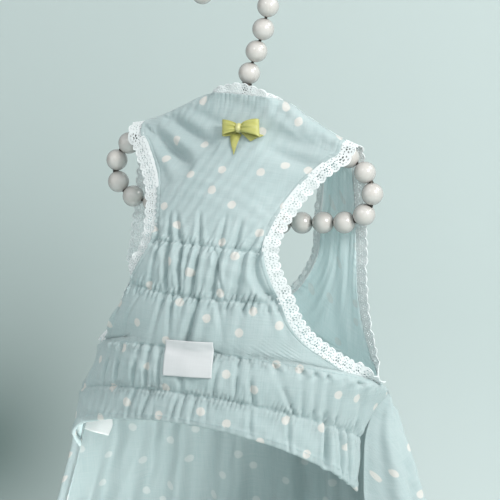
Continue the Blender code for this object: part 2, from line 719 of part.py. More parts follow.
def bow_loop(side):
    """One loop of ribbon, pinched at the knot: a ring of sections round its outline."""
    turns = np.linspace(0.0, 2 * pi, 14, endpoint=False)
    grid = []
    for level in (-1.0, -0.35, 0.35, 1.0):
        ring = []
        for turn in turns:
            reach = (1.0 - cos(turn)) / 2
            x = side * (BOW_KNOT_WIDTH / 2 + BOW_GAP + SATIN_T / 2 + reach * BOW_LOOP_LENGTH)
            y = -BOW_LOOP_BULGE * sin(turn) * (1.0 - 0.25 * abs(level))
            height = BOW_LOOP_HEIGHT / 2 * (0.42 + 0.58 * reach ** 0.7)
            ring.append((x, y, height * level * side))
        grid.append(ring)
    return np.array(grid)


def bow_tail(crests, angle_deg):
    """One ribbon end that lies on the chest under the bow, cut on the slant."""
    normals = grid_normals(crests)
    turn = radians(angle_deg + BOW_TILT_DEG)
    lift = CLOTH_T / 2 + BOW_GAP + SATIN_T / 2
    start = BOW_TAIL_WIDTH * 0.55
    grid = []
    for along in np.linspace(0.0, 1.0, 5):
        line = []
        for across in (-0.5, 0.0, 0.5):
            reach = start + along * (BOW_TAIL_LENGTH + across * BOW_TAIL_WIDTH * 0.9)
            off = across * BOW_TAIL_WIDTH * (0.62 + 0.38 * along)
            x = BOW_X + reach * cos(turn) - off * sin(turn)
            z = BOW_Z + reach * sin(turn) + off * cos(turn)
            line.append(lay_on(crests, normals, x, z, lift))
        grid.append(line)
    return np.array(grid)


def bow_frame(crests, frame, parts):
    """An empty in the middle of the bow, facing out of the chest."""
    normals = grid_normals(crests)
    under = CLOTH_T / 2 + BOW_GAP + SATIN_T + BOW_GAP
    middle = lay_on(crests, normals, BOW_X, BOW_Z, under + BOW_LOOP_BULGE + SATIN_T / 2)
    out = Vector(middle - lay_on(crests, normals, BOW_X, BOW_Z, 0.0)).normalized()
    across = Vector((1.0, 0.0, 0.0))
    across = (across - out * across.dot(out)).normalized()
    up = across.cross(-out).normalized()
    basis = Matrix((across, -out, up)).transposed()
    empty = bpy.data.objects.new("bow_frame", None)
    parts.objects.link(empty)
    empty.parent = frame
    empty.location = Vector(middle)
    empty.rotation_euler = (basis @ Matrix.Rotation(-radians(BOW_TILT_DEG), 3, "Y")).to_euler()
    return empty


def build_bow(crests, frame, parts):
    bow = bow_frame(crests, frame, parts)
    cloth_piece("bow_loop_left", bow_loop(-1.0), SATIN_T, parts, bow, "satin", True)
    cloth_piece("bow_loop_right", bow_loop(1.0), SATIN_T, parts, bow, "satin", True)
    for name, angle in zip(("bow_tail_left", "bow_tail_right"), BOW_TAIL_ANGLES_DEG):
        cloth_piece(name, bow_tail(crests, angle), SATIN_T, parts, frame, "satin")
    bpy.ops.mesh.primitive_cube_add(size=1.0)
    knot = bpy.context.object
    knot.name = "bow_knot"
    knot.data.transform(Matrix.Diagonal((BOW_KNOT_WIDTH, BOW_LOOP_BULGE * 2 + SATIN_T,
                                         BOW_KNOT_HEIGHT, 1.0)))
    for collection in knot.users_collection:
        collection.objects.unlink(knot)
    parts.objects.link(knot)
    rounding = knot.modifiers.new("rounding", "BEVEL")
    rounding.width = BOW_KNOT_WIDTH * 0.3
    rounding.segments = 2
    finish_piece(knot, bow, "satin")


def care_label(chest):
    """The slip sewn into the left side seam, seen inside the hem."""
    seam = chest[-4:, 0]
    grid = []
    for down in np.linspace(0.0, 1.0, 4):
        z = seam[1, 2] - CARE_DROP - down * CARE_H
        x = np.interp(-z, -seam[:, 2], seam[:, 0]) + CLOTH_T * 0.7
        y = np.interp(-z, -seam[:, 2], seam[:, 1]) + EDGE_GAP
        grid.append([(x + across * CARE_W, y + across * CARE_W * 0.25, z - across * CARE_W * 0.2)
                     for across in (0.0, 0.33, 0.67, 1.0)])
    return np.array(grid)


def main():
    clear_scene()
    parts = bpy.data.collections.new("dog_dress_on_beaded_hanger")
    guides = bpy.data.collections.new("guides")
    for collection in (parts, guides):
        bpy.context.scene.collection.children.link(collection)
    make_material("cotton", (0.44, 0.63, 0.64), 0.85)
    make_material("lace", (0.86, 0.87, 0.87), 0.9)
    make_material("pearl", (0.84, 0.82, 0.80), 0.25)
    make_material("satin", (0.46, 0.46, 0.13), 0.4)
    make_material("tape", (0.88, 0.88, 0.87), 0.7)
    frame = bpy.data.objects.new("dress_frame", None)
    frame.location = (HOOK_SHIFT, 0.0, -(HOOK_RISE + HOOK_RADIUS - BEAD_D / 2))
    parts.objects.link(frame)
    build_hanger(parts, guides, frame)
    chest = chest_grid()
    crests = chest_grid(crests_only=True)
    back = back_grid()
    half = (len(back) + 1) // 2
    cloth_piece("chest_panel", chest, CLOTH_T, parts, frame, "cotton")
    cloth_piece("back_yoke", back, CLOTH_T, parts, frame, "cotton")
    cloth_piece("skirt", skirt_grid(chest), CLOTH_T, parts, frame, "cotton")
    right_lace = armhole_lace(chest, back[:half])
    left_lace = mirrored(armhole_lace(mirrored(chest)[:, ::-1], mirrored(back[half - 1:][::-1])))
    cloth_piece("armhole_lace_right", right_lace, LACE_T, parts, frame, "lace", True)
    cloth_piece("armhole_lace_left", left_lace, LACE_T, parts, frame, "lace", True)
    cloth_piece("neck_lace", neck_lace(chest, back), LACE_T, parts, frame, "lace", True)
    build_bow(crests, frame, parts)
    lift = CLOTH_T / 2 + LABEL_GAP + SATIN_T / 2
    label = flat_piece(crests, (LABEL_X, LABEL_Z), (LABEL_W, LABEL_H), LABEL_TILT_DEG, lift, 7, 6)
    cloth_piece("sewn_label", label, SATIN_T, parts, frame, "tape")
    cloth_piece("care_label", care_label(chest), SATIN_T, parts, frame, "tape")


main()
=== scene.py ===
"""Looks of the small dog dress that hangs on a hanger of pearl beads.

Everything is in metres. The garment is worked out in its own frame, whose origin is the
top middle of the hanger's loop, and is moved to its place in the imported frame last.
"""

import bpy
import bmesh
import numpy as np
from math import cos, sin, radians, pi
from mathutils import Matrix, Vector


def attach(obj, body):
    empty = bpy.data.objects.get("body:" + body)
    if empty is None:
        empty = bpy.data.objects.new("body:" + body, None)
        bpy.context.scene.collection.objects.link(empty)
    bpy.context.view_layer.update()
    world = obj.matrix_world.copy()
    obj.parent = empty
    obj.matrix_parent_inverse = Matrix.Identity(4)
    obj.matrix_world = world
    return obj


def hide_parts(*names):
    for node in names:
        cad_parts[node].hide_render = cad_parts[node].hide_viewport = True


# The dress frame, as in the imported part
HOOK_RADIUS = 0.0194
HOOK_RISE = 0.0560
HOOK_SHIFT = 0.0098
HOOK_FROM_DEG = -10.0
HOOK_TO_DEG = 175.0
BEAD_D = 0.0118
BEAD_PITCH = 0.0121
WIRE_D = 0.0016
COLLAR_D = 0.0052
COLLAR_LENGTH = 0.0110
CRIMPS_FROM = 0.84
CRIMP_OUT = 0.0012
LOOP_HALF_WIDTH = 0.0750
LOOP_DROP = 0.0610
DRESS_AT = (HOOK_SHIFT, 0.0, -(HOOK_RISE + HOOK_RADIUS - BEAD_D / 2))

# Cloth
CLOTH_T = 0.0006
CLOTH_SEAT_T = 0.0010
SEAT_GAP = 0.0004
SEAM_GAP = 0.0008
SIDE_GAP = 0.0013

# Chest panel
NECK_HALF = 0.0205
NECK_RISE = 0.0068
SHOULDER_HALF = 0.0580
BODICE_HALF = 0.0840
CHEST_DEPTH = 0.0520
CHEST_LENGTH = 0.1620
CHEST_COLUMNS = 301
LINE_STEP = 0.0017
ROW_STEP = 0.0007
ROW_ZONE = 0.0045
HEM_DEPTH = 0.0027
HEM_ROLL = 0.0006

# Back and skirt
BACK_DEPTH = 0.0300
WAIST_DROP = 0.1270
UNDERARM_DROP = 0.1400
SCOOP_DROP = 0.1100
SCOOP_HALF = 0.0385
BACK_LEAN = 0.0025
SKIRT_DROP = 0.2650
SKIRT_COLUMNS = 361
WAIST_EASE = 0.15
SKIRT_FLARE = 0.0180
FLUTE_COUNT = 11
FLUTE_DEPTH = 0.0042

# Gathers
PUCKER_PITCH = 0.0027
PUCKER_DEPTH = 0.00080
PUCKER_REACH = 0.0036
PUCKER_SLANT = 0.35
ROW_SINK = 0.0007
ROW_GROOVE = 0.0011
PUFF_DEPTH = 0.0016
CALM_FROM = 0.0003
CALM_TO = 0.0010
CREASE_DEPTH = 0.0030
CREASE_WIDTH = 0.0014
FREE_GATHER = 0.0190
EDGE_PITCH = 0.0036
EDGE_PLEAT = 0.00075
EDGE_GROOVE = 0.0003
BACK_STEP = 0.0014
BACK_COLUMNS = 61
SKIRT_LINES = 62
SKIRT_GATHER = 0.0008
SKIRT_GATHER_PITCH = 0.0036
SKIRT_FOLD = 0.0012
SKIRT_FOLD_PITCH = 0.0145
NECK_PLEAT = 0.00022
NECK_PITCH = 0.0026
NECK_REACH = 0.0055
EDGE_REACH = 0.0034
EDGE_SEAM = 0.0020
EDGE_SEAM_W = 0.00045
HEM_PROUD = 0.00045
HEM_PLEAT = 0.00035
HEM_PITCH = 0.0062
# Fine unevenness of washed cloth. Columns: height, how far the wave follows the way along
# and the way down, its pitch and its seed.
WASHED_WAVES = (
    (0.00026, 1.0, 0.4, 0.0075, 31),
    (0.00022, 0.3, -1.0, 0.0095, 33),
    (0.00012, 0.8, 1.0, 0.0042, 35),
)

# Lace
LACE_W = 0.0080
LACE_T = 0.0005
LACE_PITCH = 0.0050
LACE_TUCK = 0.0010
NECK_LACE_W = 0.0064
NECK_LACE_END_W = 0.0012
SCOOP_LACE_W = 0.0035

# Holes of one lace repeat. Columns: place along (share of LACE_PITCH), place up (share of
# LACE_W) and radius.
LACE_HOLES = (
    (0.25, 0.20, 0.00036), (0.75, 0.20, 0.00036), (0.50, 0.29, 0.00038),
    (0.37, 0.48, 0.00056), (0.63, 0.48, 0.00056), (0.50, 0.65, 0.00056),
    (0.12, 0.40, 0.00036), (0.88, 0.40, 0.00036), (0.19, 0.62, 0.00042), (0.81, 0.62, 0.00042),
    (0.28, 0.80, 0.00036), (0.50, 0.86, 0.00036), (0.72, 0.80, 0.00036),
)

# Trim
BOW_X = 0.0040
BOW_Z = -0.0120
BOW_TILT_DEG = 6.0
BOW_STAND = 0.0016
BOW_BULGE = 0.0019
BOW_KNOT_W = 0.0034
BOW_KNOT_H = 0.0050
# The bow's loops. Columns: name, node, side, length, height and bulge.
BOW_LOOPS = (
    ("bow_ribbon_left", "bow_loop_left", -1.0, 0.0080, 0.0092, 0.0023),
    ("bow_ribbon_right", "bow_loop_right", 1.0, 0.0100, 0.0102, 0.0028),
)
# The bow's two ends. Columns: name, node, angle in degrees, length, width and curl.
BOW_ENDS = (
    ("bow_end_left", "bow_tail_left", -114.0, 0.0040, 0.0078, 0.0010),
    ("bow_end_right", "bow_tail_right", -24.0, 0.0078, 0.0052, 0.0014),
)
SATIN_T = 0.0003
LABEL_X = 0.0003
LABEL_Z = -0.1285
LABEL_W = 0.0275
LABEL_H = 0.0185
LABEL_TILT_DEG = 4.0
TAPE_T = 0.0003
CARE_W = 0.0130
CARE_H = 0.0150
CARE_DROP = 0.0040
CARE_SEAM = 1.037
STITCH_PITCH = 0.0026
STITCH_SHARE = 0.72
STITCH_T = 0.00034
STITCH_LIFT = CLOTH_T / 2 + 0.00008
CAP_HALF = 0.0016
CAP_R = 0.0014
CAP_END_R = 0.0011

# The loop's route, one half from the top middle to the bottom middle,
# as shares of LOOP_HALF_WIDTH and LOOP_DROP.
LOOP_ROUTE = (
    (0.000, 0.000), (0.267, -0.036), (0.480, -0.164), (0.653, -0.269), (0.800, -0.344),
    (0.920, -0.443), (1.000, -0.607), (0.960, -0.812), (0.820, -0.907), (0.647, -0.934),
    (0.480, -0.959), (0.320, -0.984), (0.000, -1.000),
)
# The stem's route from the loop to the hook, as shares of HOOK_SHIFT and HOOK_RISE.
STEM_ROUTE = ((0.0, 0.0), (0.04, 0.15), (0.10, 0.32), (0.43, 0.52), (0.75, 0.73))
# The first bead of each run that shows past the cloth, as a share of LOOP_HALF_WIDTH
# along the wire from the top middle, and how many beads the run has.
RIGHT_RUN = (0.867, 8)
LEFT_RUN = (0.985, 4)

# The chest panel's lines from the yoke to the hem. Columns: height at the middle and at
# the edge (shares of CHEST_LENGTH), half width at the edge (share of BODICE_HALF),
# depth at the middle and at the edge (shares of CHEST_DEPTH), half angle of the bend
# in degrees, and how far the left and the right side are pushed to the right (shares
# of BODICE_HALF).
CHEST_LINES = (
    ("yoke_top", -0.050, -0.136, 0.643, 0.205, 0.190, 30, 0.000, 0.000),
    ("yoke_1", -0.099, -0.173, 0.577, 0.290, 0.280, 30, 0.000, 0.000),
    ("yoke_2", -0.173, -0.235, 0.490, 0.420, 0.395, 30, 0.000, 0.000),
    ("yoke_3", -0.253, -0.302, 0.429, 0.575, 0.523, 30, 0.000, 0.000),
    ("yoke_4", -0.333, -0.364, 0.393, 0.710, 0.640, 30, 0.000, 0.000),
    ("yoke_5", -0.395, -0.410, 0.381, 0.798, 0.704, 30, 0.000, 0.000),
    ("elastic_1", -0.432, -0.438, 0.383, 0.840, 0.729, 30, 0.000, 0.000),
    ("puff_1a", -0.475, -0.475, 0.402, 0.885, 0.750, 32, 0.000, 0.000),
    ("puff_1b", -0.537, -0.531, 0.456, 0.923, 0.767, 34, 0.000, 0.000),
    ("elastic_2", -0.599, -0.586, 0.521, 0.945, 0.756, 36, 0.000, 0.000),
    ("puff_2a", -0.642, -0.660, 0.587, 0.962, 0.731, 42, 0.010, 0.000),
    ("puff_2b", -0.679, -0.719, 0.679, 0.971, 0.662, 48, 0.030, 0.000),
    ("puff_2c", -0.710, -0.762, 0.780, 0.981, 0.548, 57, 0.076, 0.000),
    ("puff_2d", -0.738, -0.812, 0.888, 0.990, 0.352, 71, 0.107, 0.008),
    ("elastic_3", -0.765, -0.864, 0.988, 0.985, -0.173, 98, 0.120, 0.012),
    ("puff_3", -0.836, -0.945, 0.975, 1.020, -0.090, 94, 0.066, -0.010),
    ("elastic_4", -0.907, -1.037, 0.950, 1.030, 0.000, 90, -0.044, -0.020),
    ("hem_fold", -0.970, -1.160, 0.960, 1.055, 0.030, 88, -0.070, -0.030),
    ("hem", -1.000, -1.210, 0.965, 1.060, 0.038, 88, -0.076, -0.030),
)
ROW_NAMES = ("elastic_1", "elastic_2", "elastic_3", "elastic_4")
# Soft folds of the yoke. Columns: side (-1 left, 1 right), half-width and height where a
# fold starts and ends (shares of SHOULDER_HALF and CHEST_LENGTH), depth (share of
# CHEST_DEPTH) and width (share of SHOULDER_HALF).
YOKE_FOLDS = (
    (-1, 0.84, -0.11, 0.30, -0.20, 0.125, 0.075),
    (-1, 0.70, -0.06, 0.10, -0.13, 0.090, 0.060),
    (-1, 0.50, -0.02, -0.02, -0.075, 0.032, 0.045),
    (-1, 0.88, -0.16, 0.50, -0.27, 0.044, 0.080),
    (-1, 0.70, -0.14, 0.36, -0.16, 0.024, 0.034),
    (1, 0.80, -0.10, 0.20, -0.06, 0.070, 0.080),
    (1, 0.86, -0.16, 0.28, -0.11, 0.070, 0.060),
    (1, 0.70, -0.22, 0.40, -0.30, 0.030, 0.080),
)
# Long creases of the chest panel. Columns: band (0 above the first row, 1 to 3 between
# rows, 4 to the hem), place across at the band's top and bottom (-1 left edge, 1 right
# edge), depth there (shares of CREASE_DEPTH), width (share of CREASE_WIDTH) and how far it
# bows sideways (share of BODICE_HALF).
CREASES = (
    (0, -0.98, -0.86, 0.0, 0.9, 1.0, 0.00),
    (0, -0.72, -0.60, 0.0, 0.9, 1.0, 0.00),
    (0, -0.60, -0.40, 0.0, 1.0, 1.1, 0.00),
    (0, -0.18, -0.05, 0.0, 0.9, 0.9, 0.00),
    (0, 0.27, 0.27, 0.0, 0.8, 0.9, 0.00),
    (0, 0.53, 0.52, 0.0, 0.9, 1.0, 0.00),
    (0, 0.88, 0.77, 0.0, 1.0, 1.1, 0.00),
    (0, 0.98, 0.92, 0.0, 1.0, 1.0, 0.00),
    (1, -0.80, -0.62, 0.4, 0.7, 0.9, 0.00),
    (1, -0.63, -0.37, 1.1, 0.8, 1.1, 0.00),
    (1, -0.37, -0.19, 1.0, 0.8, 1.0, 0.00),
    (1, -0.19, -0.15, 0.8, 0.0, 0.8, 0.00),
    (1, -0.02, -0.06, 0.6, 1.1, 1.1, 0.00),
    (1, 0.20, 0.36, 0.7, 0.0, 0.7, 0.00),
    (1, 0.32, 0.20, 0.8, 1.1, 1.2, 0.00),
    (1, 0.72, 0.46, 0.6, 1.2, 1.5, 0.00),
    (1, 0.90, 0.92, 1.2, 1.4, 1.6, -0.05),
    (2, -1.00, -0.55, 0.4, 0.8, 1.2, 0.00),
    (2, -0.68, -0.33, 0.4, 0.9, 1.0, -0.06),
    (2, -0.39, -0.17, 0.9, 1.0, 1.0, 0.00),
    (2, -0.28, -0.09, 0.7, 0.8, 0.9, 0.00),
    (2, 0.04, -0.02, 0.9, 1.2, 1.4, 0.00),
    (2, 0.27, 0.14, 0.7, 0.0, 0.8, 0.00),
    (2, 0.39, 0.11, 0.5, 1.2, 1.6, 0.00),
    (2, 0.58, 0.17, 0.7, 0.9, 1.1, 0.00),
    (2, 0.84, 0.26, 0.6, 1.0, 1.2, 0.05),
    (2, 0.94, 0.36, 0.8, 0.5, 1.0, 0.05),
    (3, -0.62, -0.62, 0.6, 0.4, 1.2, 0.00),
    (3, -0.44, -0.46, 0.8, 0.6, 1.0, 0.00),
    (3, -0.35, -0.37, 0.9, 0.6, 1.0, 0.00),
    (3, -0.22, -0.27, 1.0, 0.6, 1.0, 0.00),
    (3, -0.17, -0.20, 0.8, 0.8, 0.9, 0.00),
    (3, -0.12, -0.13, 0.8, 0.7, 0.8, 0.00),
    (3, -0.02, -0.02, 0.0, 0.8, 0.9, 0.00),
    (3, 0.12, 0.12, 0.0, 0.7, 0.8, 0.00),
    (3, 0.19, 0.22, 0.9, 0.3, 0.8, 0.00),
    (3, 0.23, 0.30, 0.4, 0.8, 0.9, 0.00),
    (3, 0.32, 0.50, 0.9, 0.8, 1.1, 0.00),
    (3, 0.44, 0.54, 0.9, 0.6, 0.9, 0.00),
    (3, 0.50, 0.60, 0.9, 0.8, 1.0, 0.00),
    (3, 0.56, 0.67, 0.6, 1.3, 1.2, 0.00),
    (3, 0.65, 0.73, 0.3, 0.9, 0.8, 0.00),
    (3, 0.77, 0.90, 1.2, 1.2, 1.5, 0.00),
    (4, -0.25, -0.28, 0.8, 0.3, 0.9, 0.00),
    (4, -0.17, -0.21, 0.8, 0.4, 1.0, 0.00),
    (4, -0.03, -0.06, 0.5, 0.5, 0.8, 0.00),
    (4, 0.00, -0.02, 0.6, 0.4, 0.8, 0.00),
    (4, 0.05, 0.03, 0.6, 0.3, 0.8, 0.00),
    (4, 0.10, 0.10, 0.5, 0.0, 0.7, 0.00),
    (4, 0.29, 0.30, 0.3, 0.5, 0.8, 0.00),
    (4, 0.47, 0.50, 0.5, 0.5, 0.8, 0.00),
    (4, 0.68, 0.71, 1.0, 1.3, 1.2, 0.00),
    (4, 0.77, 0.83, 0.7, 0.5, 0.9, 0.00),
    (4, 0.83, 0.90, 0.7, 0.6, 0.9, 0.00),
)
# Lines of the back from the shoulder to the underarm, past which its lines turn evenly
# to the middle. Columns: half width at the scoop (share of SCOOP_HALF) and height there
# (share of SCOOP_DROP), half width at the outer edge (share of BODICE_HALF) and height
# there (share of UNDERARM_DROP).
BACK_LINES = (
    ("strap_1", 1.080, -0.200, 0.702, -0.229),
    ("strap_2", 1.060, -0.364, 0.720, -0.357),
    ("strap_3", 1.000, -0.527, 0.738, -0.500),
    ("strap_4", 0.970, -0.691, 0.762, -0.643),
    ("strap_5", 0.760, -0.836, 0.821, -0.786),
    ("strap_6", 0.520, -0.927, 0.905, -0.907),
    ("underarm", 0.310, -0.968, 0.988, -0.993),
)
WAIST_STEPS = 9
# Sections of the back. Columns: height (share of UNDERARM_DROP), half width (share of
# BODICE_HALF), depth at the edge and in the middle (shares of BACK_DEPTH), half angle.
BACK_SECTIONS = (
    (-0.05, 0.700, 0.20, 0.22, 30),
    (-0.21, 0.714, 0.24, 0.36, 30),
    (-0.43, 0.738, 0.28, 0.55, 35),
    (-0.64, 0.786, 0.30, 0.73, 45),
    (-0.82, 0.881, 0.30, 0.87, 60),
    (-0.93, 0.952, 0.30, 0.93, 75),
    (-1.00, 0.988, 0.30, 0.97, 88),
)
# Sections of the skirt. Columns: height (share of SKIRT_DROP), half width at the front
# edge (share of BODICE_HALF), depth there and in the middle of the back (shares of
# BACK_DEPTH, the back positive), half angle of the bend.
SKIRT_SECTIONS = (
    (-0.480, 0.988, 0.32, 0.97, 90),
    (-0.530, 0.986, 0.32, 1.02, 94),
    (-0.570, 0.966, 0.18, 1.20, 108),
    (-0.630, 0.950, 0.02, 1.35, 116),
    (-0.740, 0.965, -0.06, 1.60, 118),
    (-0.870, 1.050, -0.06, 1.90, 118),
    (-1.000, 1.150, -0.06, 2.15, 118),
)


def smooth_step(value, start, end):
    t = np.clip((value - start) / (end - start), 0.0, 1.0)
    return t * t * (3.0 - 2.0 * t)


def uneven_wave(x, pitch, seed, spread=0.3):
    """A wave of about the given pitch that never quite repeats, mostly within -1 and 1."""
    draw = np.random.default_rng(seed)
    total = np.zeros_like(x)
    for share in (1.0, 0.8, 0.7, 0.5):
        rate = (1.0 + spread * draw.uniform(-1.0, 1.0)) / pitch
        total = total + share * np.sin(2.0 * pi * (x * rate + draw.uniform()))
    return total / 2.0


def blend_rows(rows, keys, at):
    """Rows of numbers read smoothly at places between the given ones."""
    rows = np.asarray(rows, float)
    keys = np.asarray(keys, float)
    at = np.asarray(at, float)
    shape = (-1,) + (1,) * (rows.ndim - 1)
    steps = np.diff(keys)
    slopes = np.diff(rows, axis=0) / steps.reshape(shape)
    tangents = np.concatenate([slopes[:1], (slopes[1:] + slopes[:-1]) / 2.0, slopes[-1:]])
    span = np.clip(np.searchsorted(keys, at, side="right") - 1, 0, len(steps) - 1)
    width = steps[span].reshape(shape)
    t = (at - keys[span]).reshape(shape) / width
    start = (1.0 + 2.0 * t) * (1.0 - t) ** 2 * rows[span]
    end = t * t * (3.0 - 2.0 * t) * rows[span + 1]
    leave = t * (1.0 - t) ** 2 * width * tangents[span]
    arrive = t * t * (t - 1.0) * width * tangents[span + 1]
    return start + end + leave + arrive


def table_values(table, height):
    """Columns of a table of sections read at heights, tables running downwards."""
    rows = np.array(table, float)
    return [np.interp(-height, -rows[:, 0], rows[:, k]) for k in range(1, rows.shape[1])]


def line_lengths(points):
    steps = np.linalg.norm(np.diff(points, axis=0), axis=1)
    return np.concatenate([[0.0], np.cumsum(steps)])


def grid_normals(grid):
    """Unit normals of a grid of points, lines down and shares across."""
    across = np.gradient(grid, axis=1)
    down = np.gradient(grid, axis=0)
    normal = np.cross(down, across)
    return normal / np.maximum(np.linalg.norm(normal, axis=2, keepdims=True), 1e-12)


def grid_chart(grid):
    """Flat cloth places of a grid: length along each line from its middle, and down."""
    along = np.linalg.norm(np.diff(grid, axis=1), axis=2)
    u = np.concatenate([np.zeros((len(grid), 1)), np.cumsum(along, axis=1)], axis=1)
    u -= u[:, [grid.shape[1] // 2]]
    down = np.linalg.norm(np.diff(grid, axis=0), axis=2)
    v = np.concatenate([np.zeros((1, grid.shape[1])), np.cumsum(down, axis=0)])
    return np.stack([u, -v], axis=2)


def print_chart(base):
    """Where the print lies on the smooth cloth: length across from the middle, and height."""
    middle = base.shape[1] // 2
    along = np.linalg.norm(np.diff(base[..., :2], axis=1), axis=2)
    u = np.concatenate([np.zeros((len(base), 1)), np.cumsum(along, axis=1)], axis=1)
    u -= u[:, [middle]]
    down = np.linalg.norm(np.diff(base[:, middle], axis=0), axis=1)
    fall = np.concatenate([[0.0], np.cumsum(down)])[:, None]
    v = base[..., 2] - base[:, [middle], 2] - fall
    return np.stack([u, v], axis=2)


def rolled_chart(chart, grid):
    """A chart with the lines of the rolled hem added below it."""
    steps = np.linalg.norm(np.diff(grid[len(chart) - 1:], axis=0), axis=2)
    added = np.repeat(chart[-1:], len(steps), axis=0)
    added[:, :, 1] -= np.cumsum(steps, axis=0)
    return np.vstack([chart, added])


def smooth_route(points, steps, closed):
    """Points along a smooth curve through the given ones."""
    count = len(points)
    spans = count if closed else count - 1
    route = []
    for span in range(spans):
        ends = [span - 1, span, span + 1, span + 2]
        if closed:
            ends = [end % count for end in ends]
        else:
            ends = [min(max(end, 0), count - 1) for end in ends]
        a, b, c, d = (np.array(points[end], float) for end in ends)
        for step in range(steps):
            t = step / steps
            turn = (2 * a - 5 * b + 4 * c - d) * t * t + (3 * b - a - 3 * c + d) * t ** 3
            route.append(0.5 * (2 * b + (c - a) * t + turn))
    if not closed:
        route.append(np.array(points[-1], float))
    return np.array(route)


def walk(route, distances, closed):
    """Points at the given distances along a route of many short steps."""
    line = np.vstack([route, route[:1]]) if closed else route
    along = line_lengths(line)
    distances = np.mod(distances, along[-1]) if closed else np.array(distances)
    return np.stack([np.interp(distances, along, line[:, k]) for k in range(3)], axis=1)


def loop_route():
    right = [(x * LOOP_HALF_WIDTH, 0.0, z * LOOP_DROP) for x, z in LOOP_ROUTE]
    left = [(-x, y, z) for x, y, z in reversed(right[1:-1])]
    return smooth_route(right + left, 12, True)


def hook_route():
    stem = [(x * HOOK_SHIFT, 0.0, z * HOOK_RISE) for x, z in STEM_ROUTE]
    turns = np.radians(np.linspace(HOOK_FROM_DEG, HOOK_TO_DEG, 12))
    arc = [(HOOK_RADIUS * cos(a) - HOOK_SHIFT, 0.0, HOOK_RISE + HOOK_RADIUS * sin(a)) for a in turns]
    return smooth_route(stem + arc, 8, False)


def loop_bead_places(route):
    """Distances of the beads: two runs that show, and even spacing in between."""
    whole = line_lengths(np.vstack([route, route[:1]]))[-1]
    right = [RIGHT_RUN[0] * LOOP_HALF_WIDTH + k * BEAD_PITCH for k in range(RIGHT_RUN[1])]
    left = [whole - LEFT_RUN[0] * LOOP_HALF_WIDTH - k * BEAD_PITCH for k in range(LEFT_RUN[1])]
    places = right + left
    for start, end in ((right[-1], left[-1]), (left[0] - whole, right[0])):
        gaps = int((end - start) / BEAD_PITCH)
        places += [start + (end - start) * k / gaps for k in range(1, gaps)]
    return sorted(place % whole for place in places)


LOOP = loop_route()
LOOP_TOP = LOOP[: len(LOOP) // 2][LOOP[: len(LOOP) // 2, 2] > -0.5 * LOOP_DROP]
LOOP_TOP = LOOP_TOP[np.argsort(LOOP_TOP[:, 0])]
ARCH_RADIUS = BEAD_D / 2 + SEAT_GAP + CLOTH_SEAT_T / 2


def shoulder_line(x):
    """Height of the cloth that lies over the hanger's beads."""
    at = np.interp(np.abs(x), LOOP_TOP[:, 0], LOOP_TOP[:, 2])
    ahead = np.interp(np.abs(x) + 0.002, LOOP_TOP[:, 0], LOOP_TOP[:, 2])
    slope = (ahead - at) / 0.002
    return at + ARCH_RADIUS * np.sqrt(1.0 + slope ** 2)


def bend(share, half_width, edge_depth, middle_depth, half_angle):
    """Half width and depth at a share of the way from the middle to the edge."""
    angle = np.radians(half_angle)
    turn = share * angle
    x = half_width * np.sin(turn) / np.sin(angle)
    fall = (np.cos(turn) - np.cos(angle)) / (1.0 - np.cos(angle))
    return x, edge_depth + (middle_depth - edge_depth) * fall


def top_lines(share):
    """Three lines of the chest panel over the hanger: seam, arch and front of the beads."""
    x = share * SHOULDER_HALF
    top = shoulder_line(x)
    over = smooth_step(np.abs(x), NECK_HALF * 0.72, NECK_HALF * 1.04)
    neck = NECK_RISE - (np.abs(x) / NECK_HALF) ** 2 * NECK_RISE * 0.10
    lines = []
    for turn, neck_drop in ((-8.0, 0.00), (35.0, 0.28), (80.0, 0.75)):
        arch_y = -ARCH_RADIUS * sin(radians(turn))
        arch_z = top - ARCH_RADIUS * (1.0 - cos(radians(turn)))
        neck_y = -ARCH_RADIUS * 1.08
        neck_z = neck - neck_drop * NECK_RISE
        y = arch_y * over + neck_y * (1.0 - over)
        z = arch_z * over + neck_z * (1.0 - over)
        lines.append(np.stack([x, y, z], axis=1))
    return lines


def chest_lines(shares):
    """The chest panel's lines before folds: a list of arrays of points."""
    lines = top_lines(shares)
    for row in CHEST_LINES:
        middle_z, edge_z, half_width, middle_depth, edge_depth, angle, left, right = row[1:]
        x, depth = bend(shares, half_width * BODICE_HALF, edge_depth * CHEST_DEPTH,
                        middle_depth * CHEST_DEPTH, angle)
        turn = radians(angle)
        drop = (1.0 - np.cos(shares * turn)) / (1.0 - cos(turn))
        z = (middle_z + (edge_z - middle_z) * drop) * CHEST_LENGTH
        push = left * smooth_step(-shares, 0.15, 0.65) + right * smooth_step(shares, 0.15, 0.65)
        lines.append(np.stack([x + push * BODICE_HALF, -depth, z], axis=1))
    return np.array(lines)


def chest_base(columns):
    """The smooth chest panel, its places down the cloth, and the rows' places."""
    shares = np.linspace(-1.0, 1.0, columns)
    lines = chest_lines(shares)
    keys = line_lengths(lines[:, columns // 2])
    names = [row[0] for row in CHEST_LINES]
    rows_at = {name: keys[3 + names.index(name)] for name in names}
    stops = [rows_at[name] for name in ROW_NAMES]
    places = [0.0]
    while places[-1] < keys[-1] - ROW_STEP:
        near = min(abs(places[-1] + ROW_STEP - stop) for stop in stops)
        close = near < ROW_ZONE or keys[-1] - places[-1] < ROW_ZONE or places[-1] < ROW_ZONE
        places.append(places[-1] + (ROW_STEP if close else LINE_STEP))
    places[-1] = keys[-1]
    places = np.array(places)
    return shares, places, blend_rows(lines, keys, places), rows_at


def side_distance(run):
    """How far each point of the chest panel is from the nearer side edge."""
    return np.minimum(run - run[:, :1], run[:, -1:] - run)


def runs_of(grid):
    """Length along each line from its middle, negative on the left."""
    return grid_chart(grid)[:, :, 0]


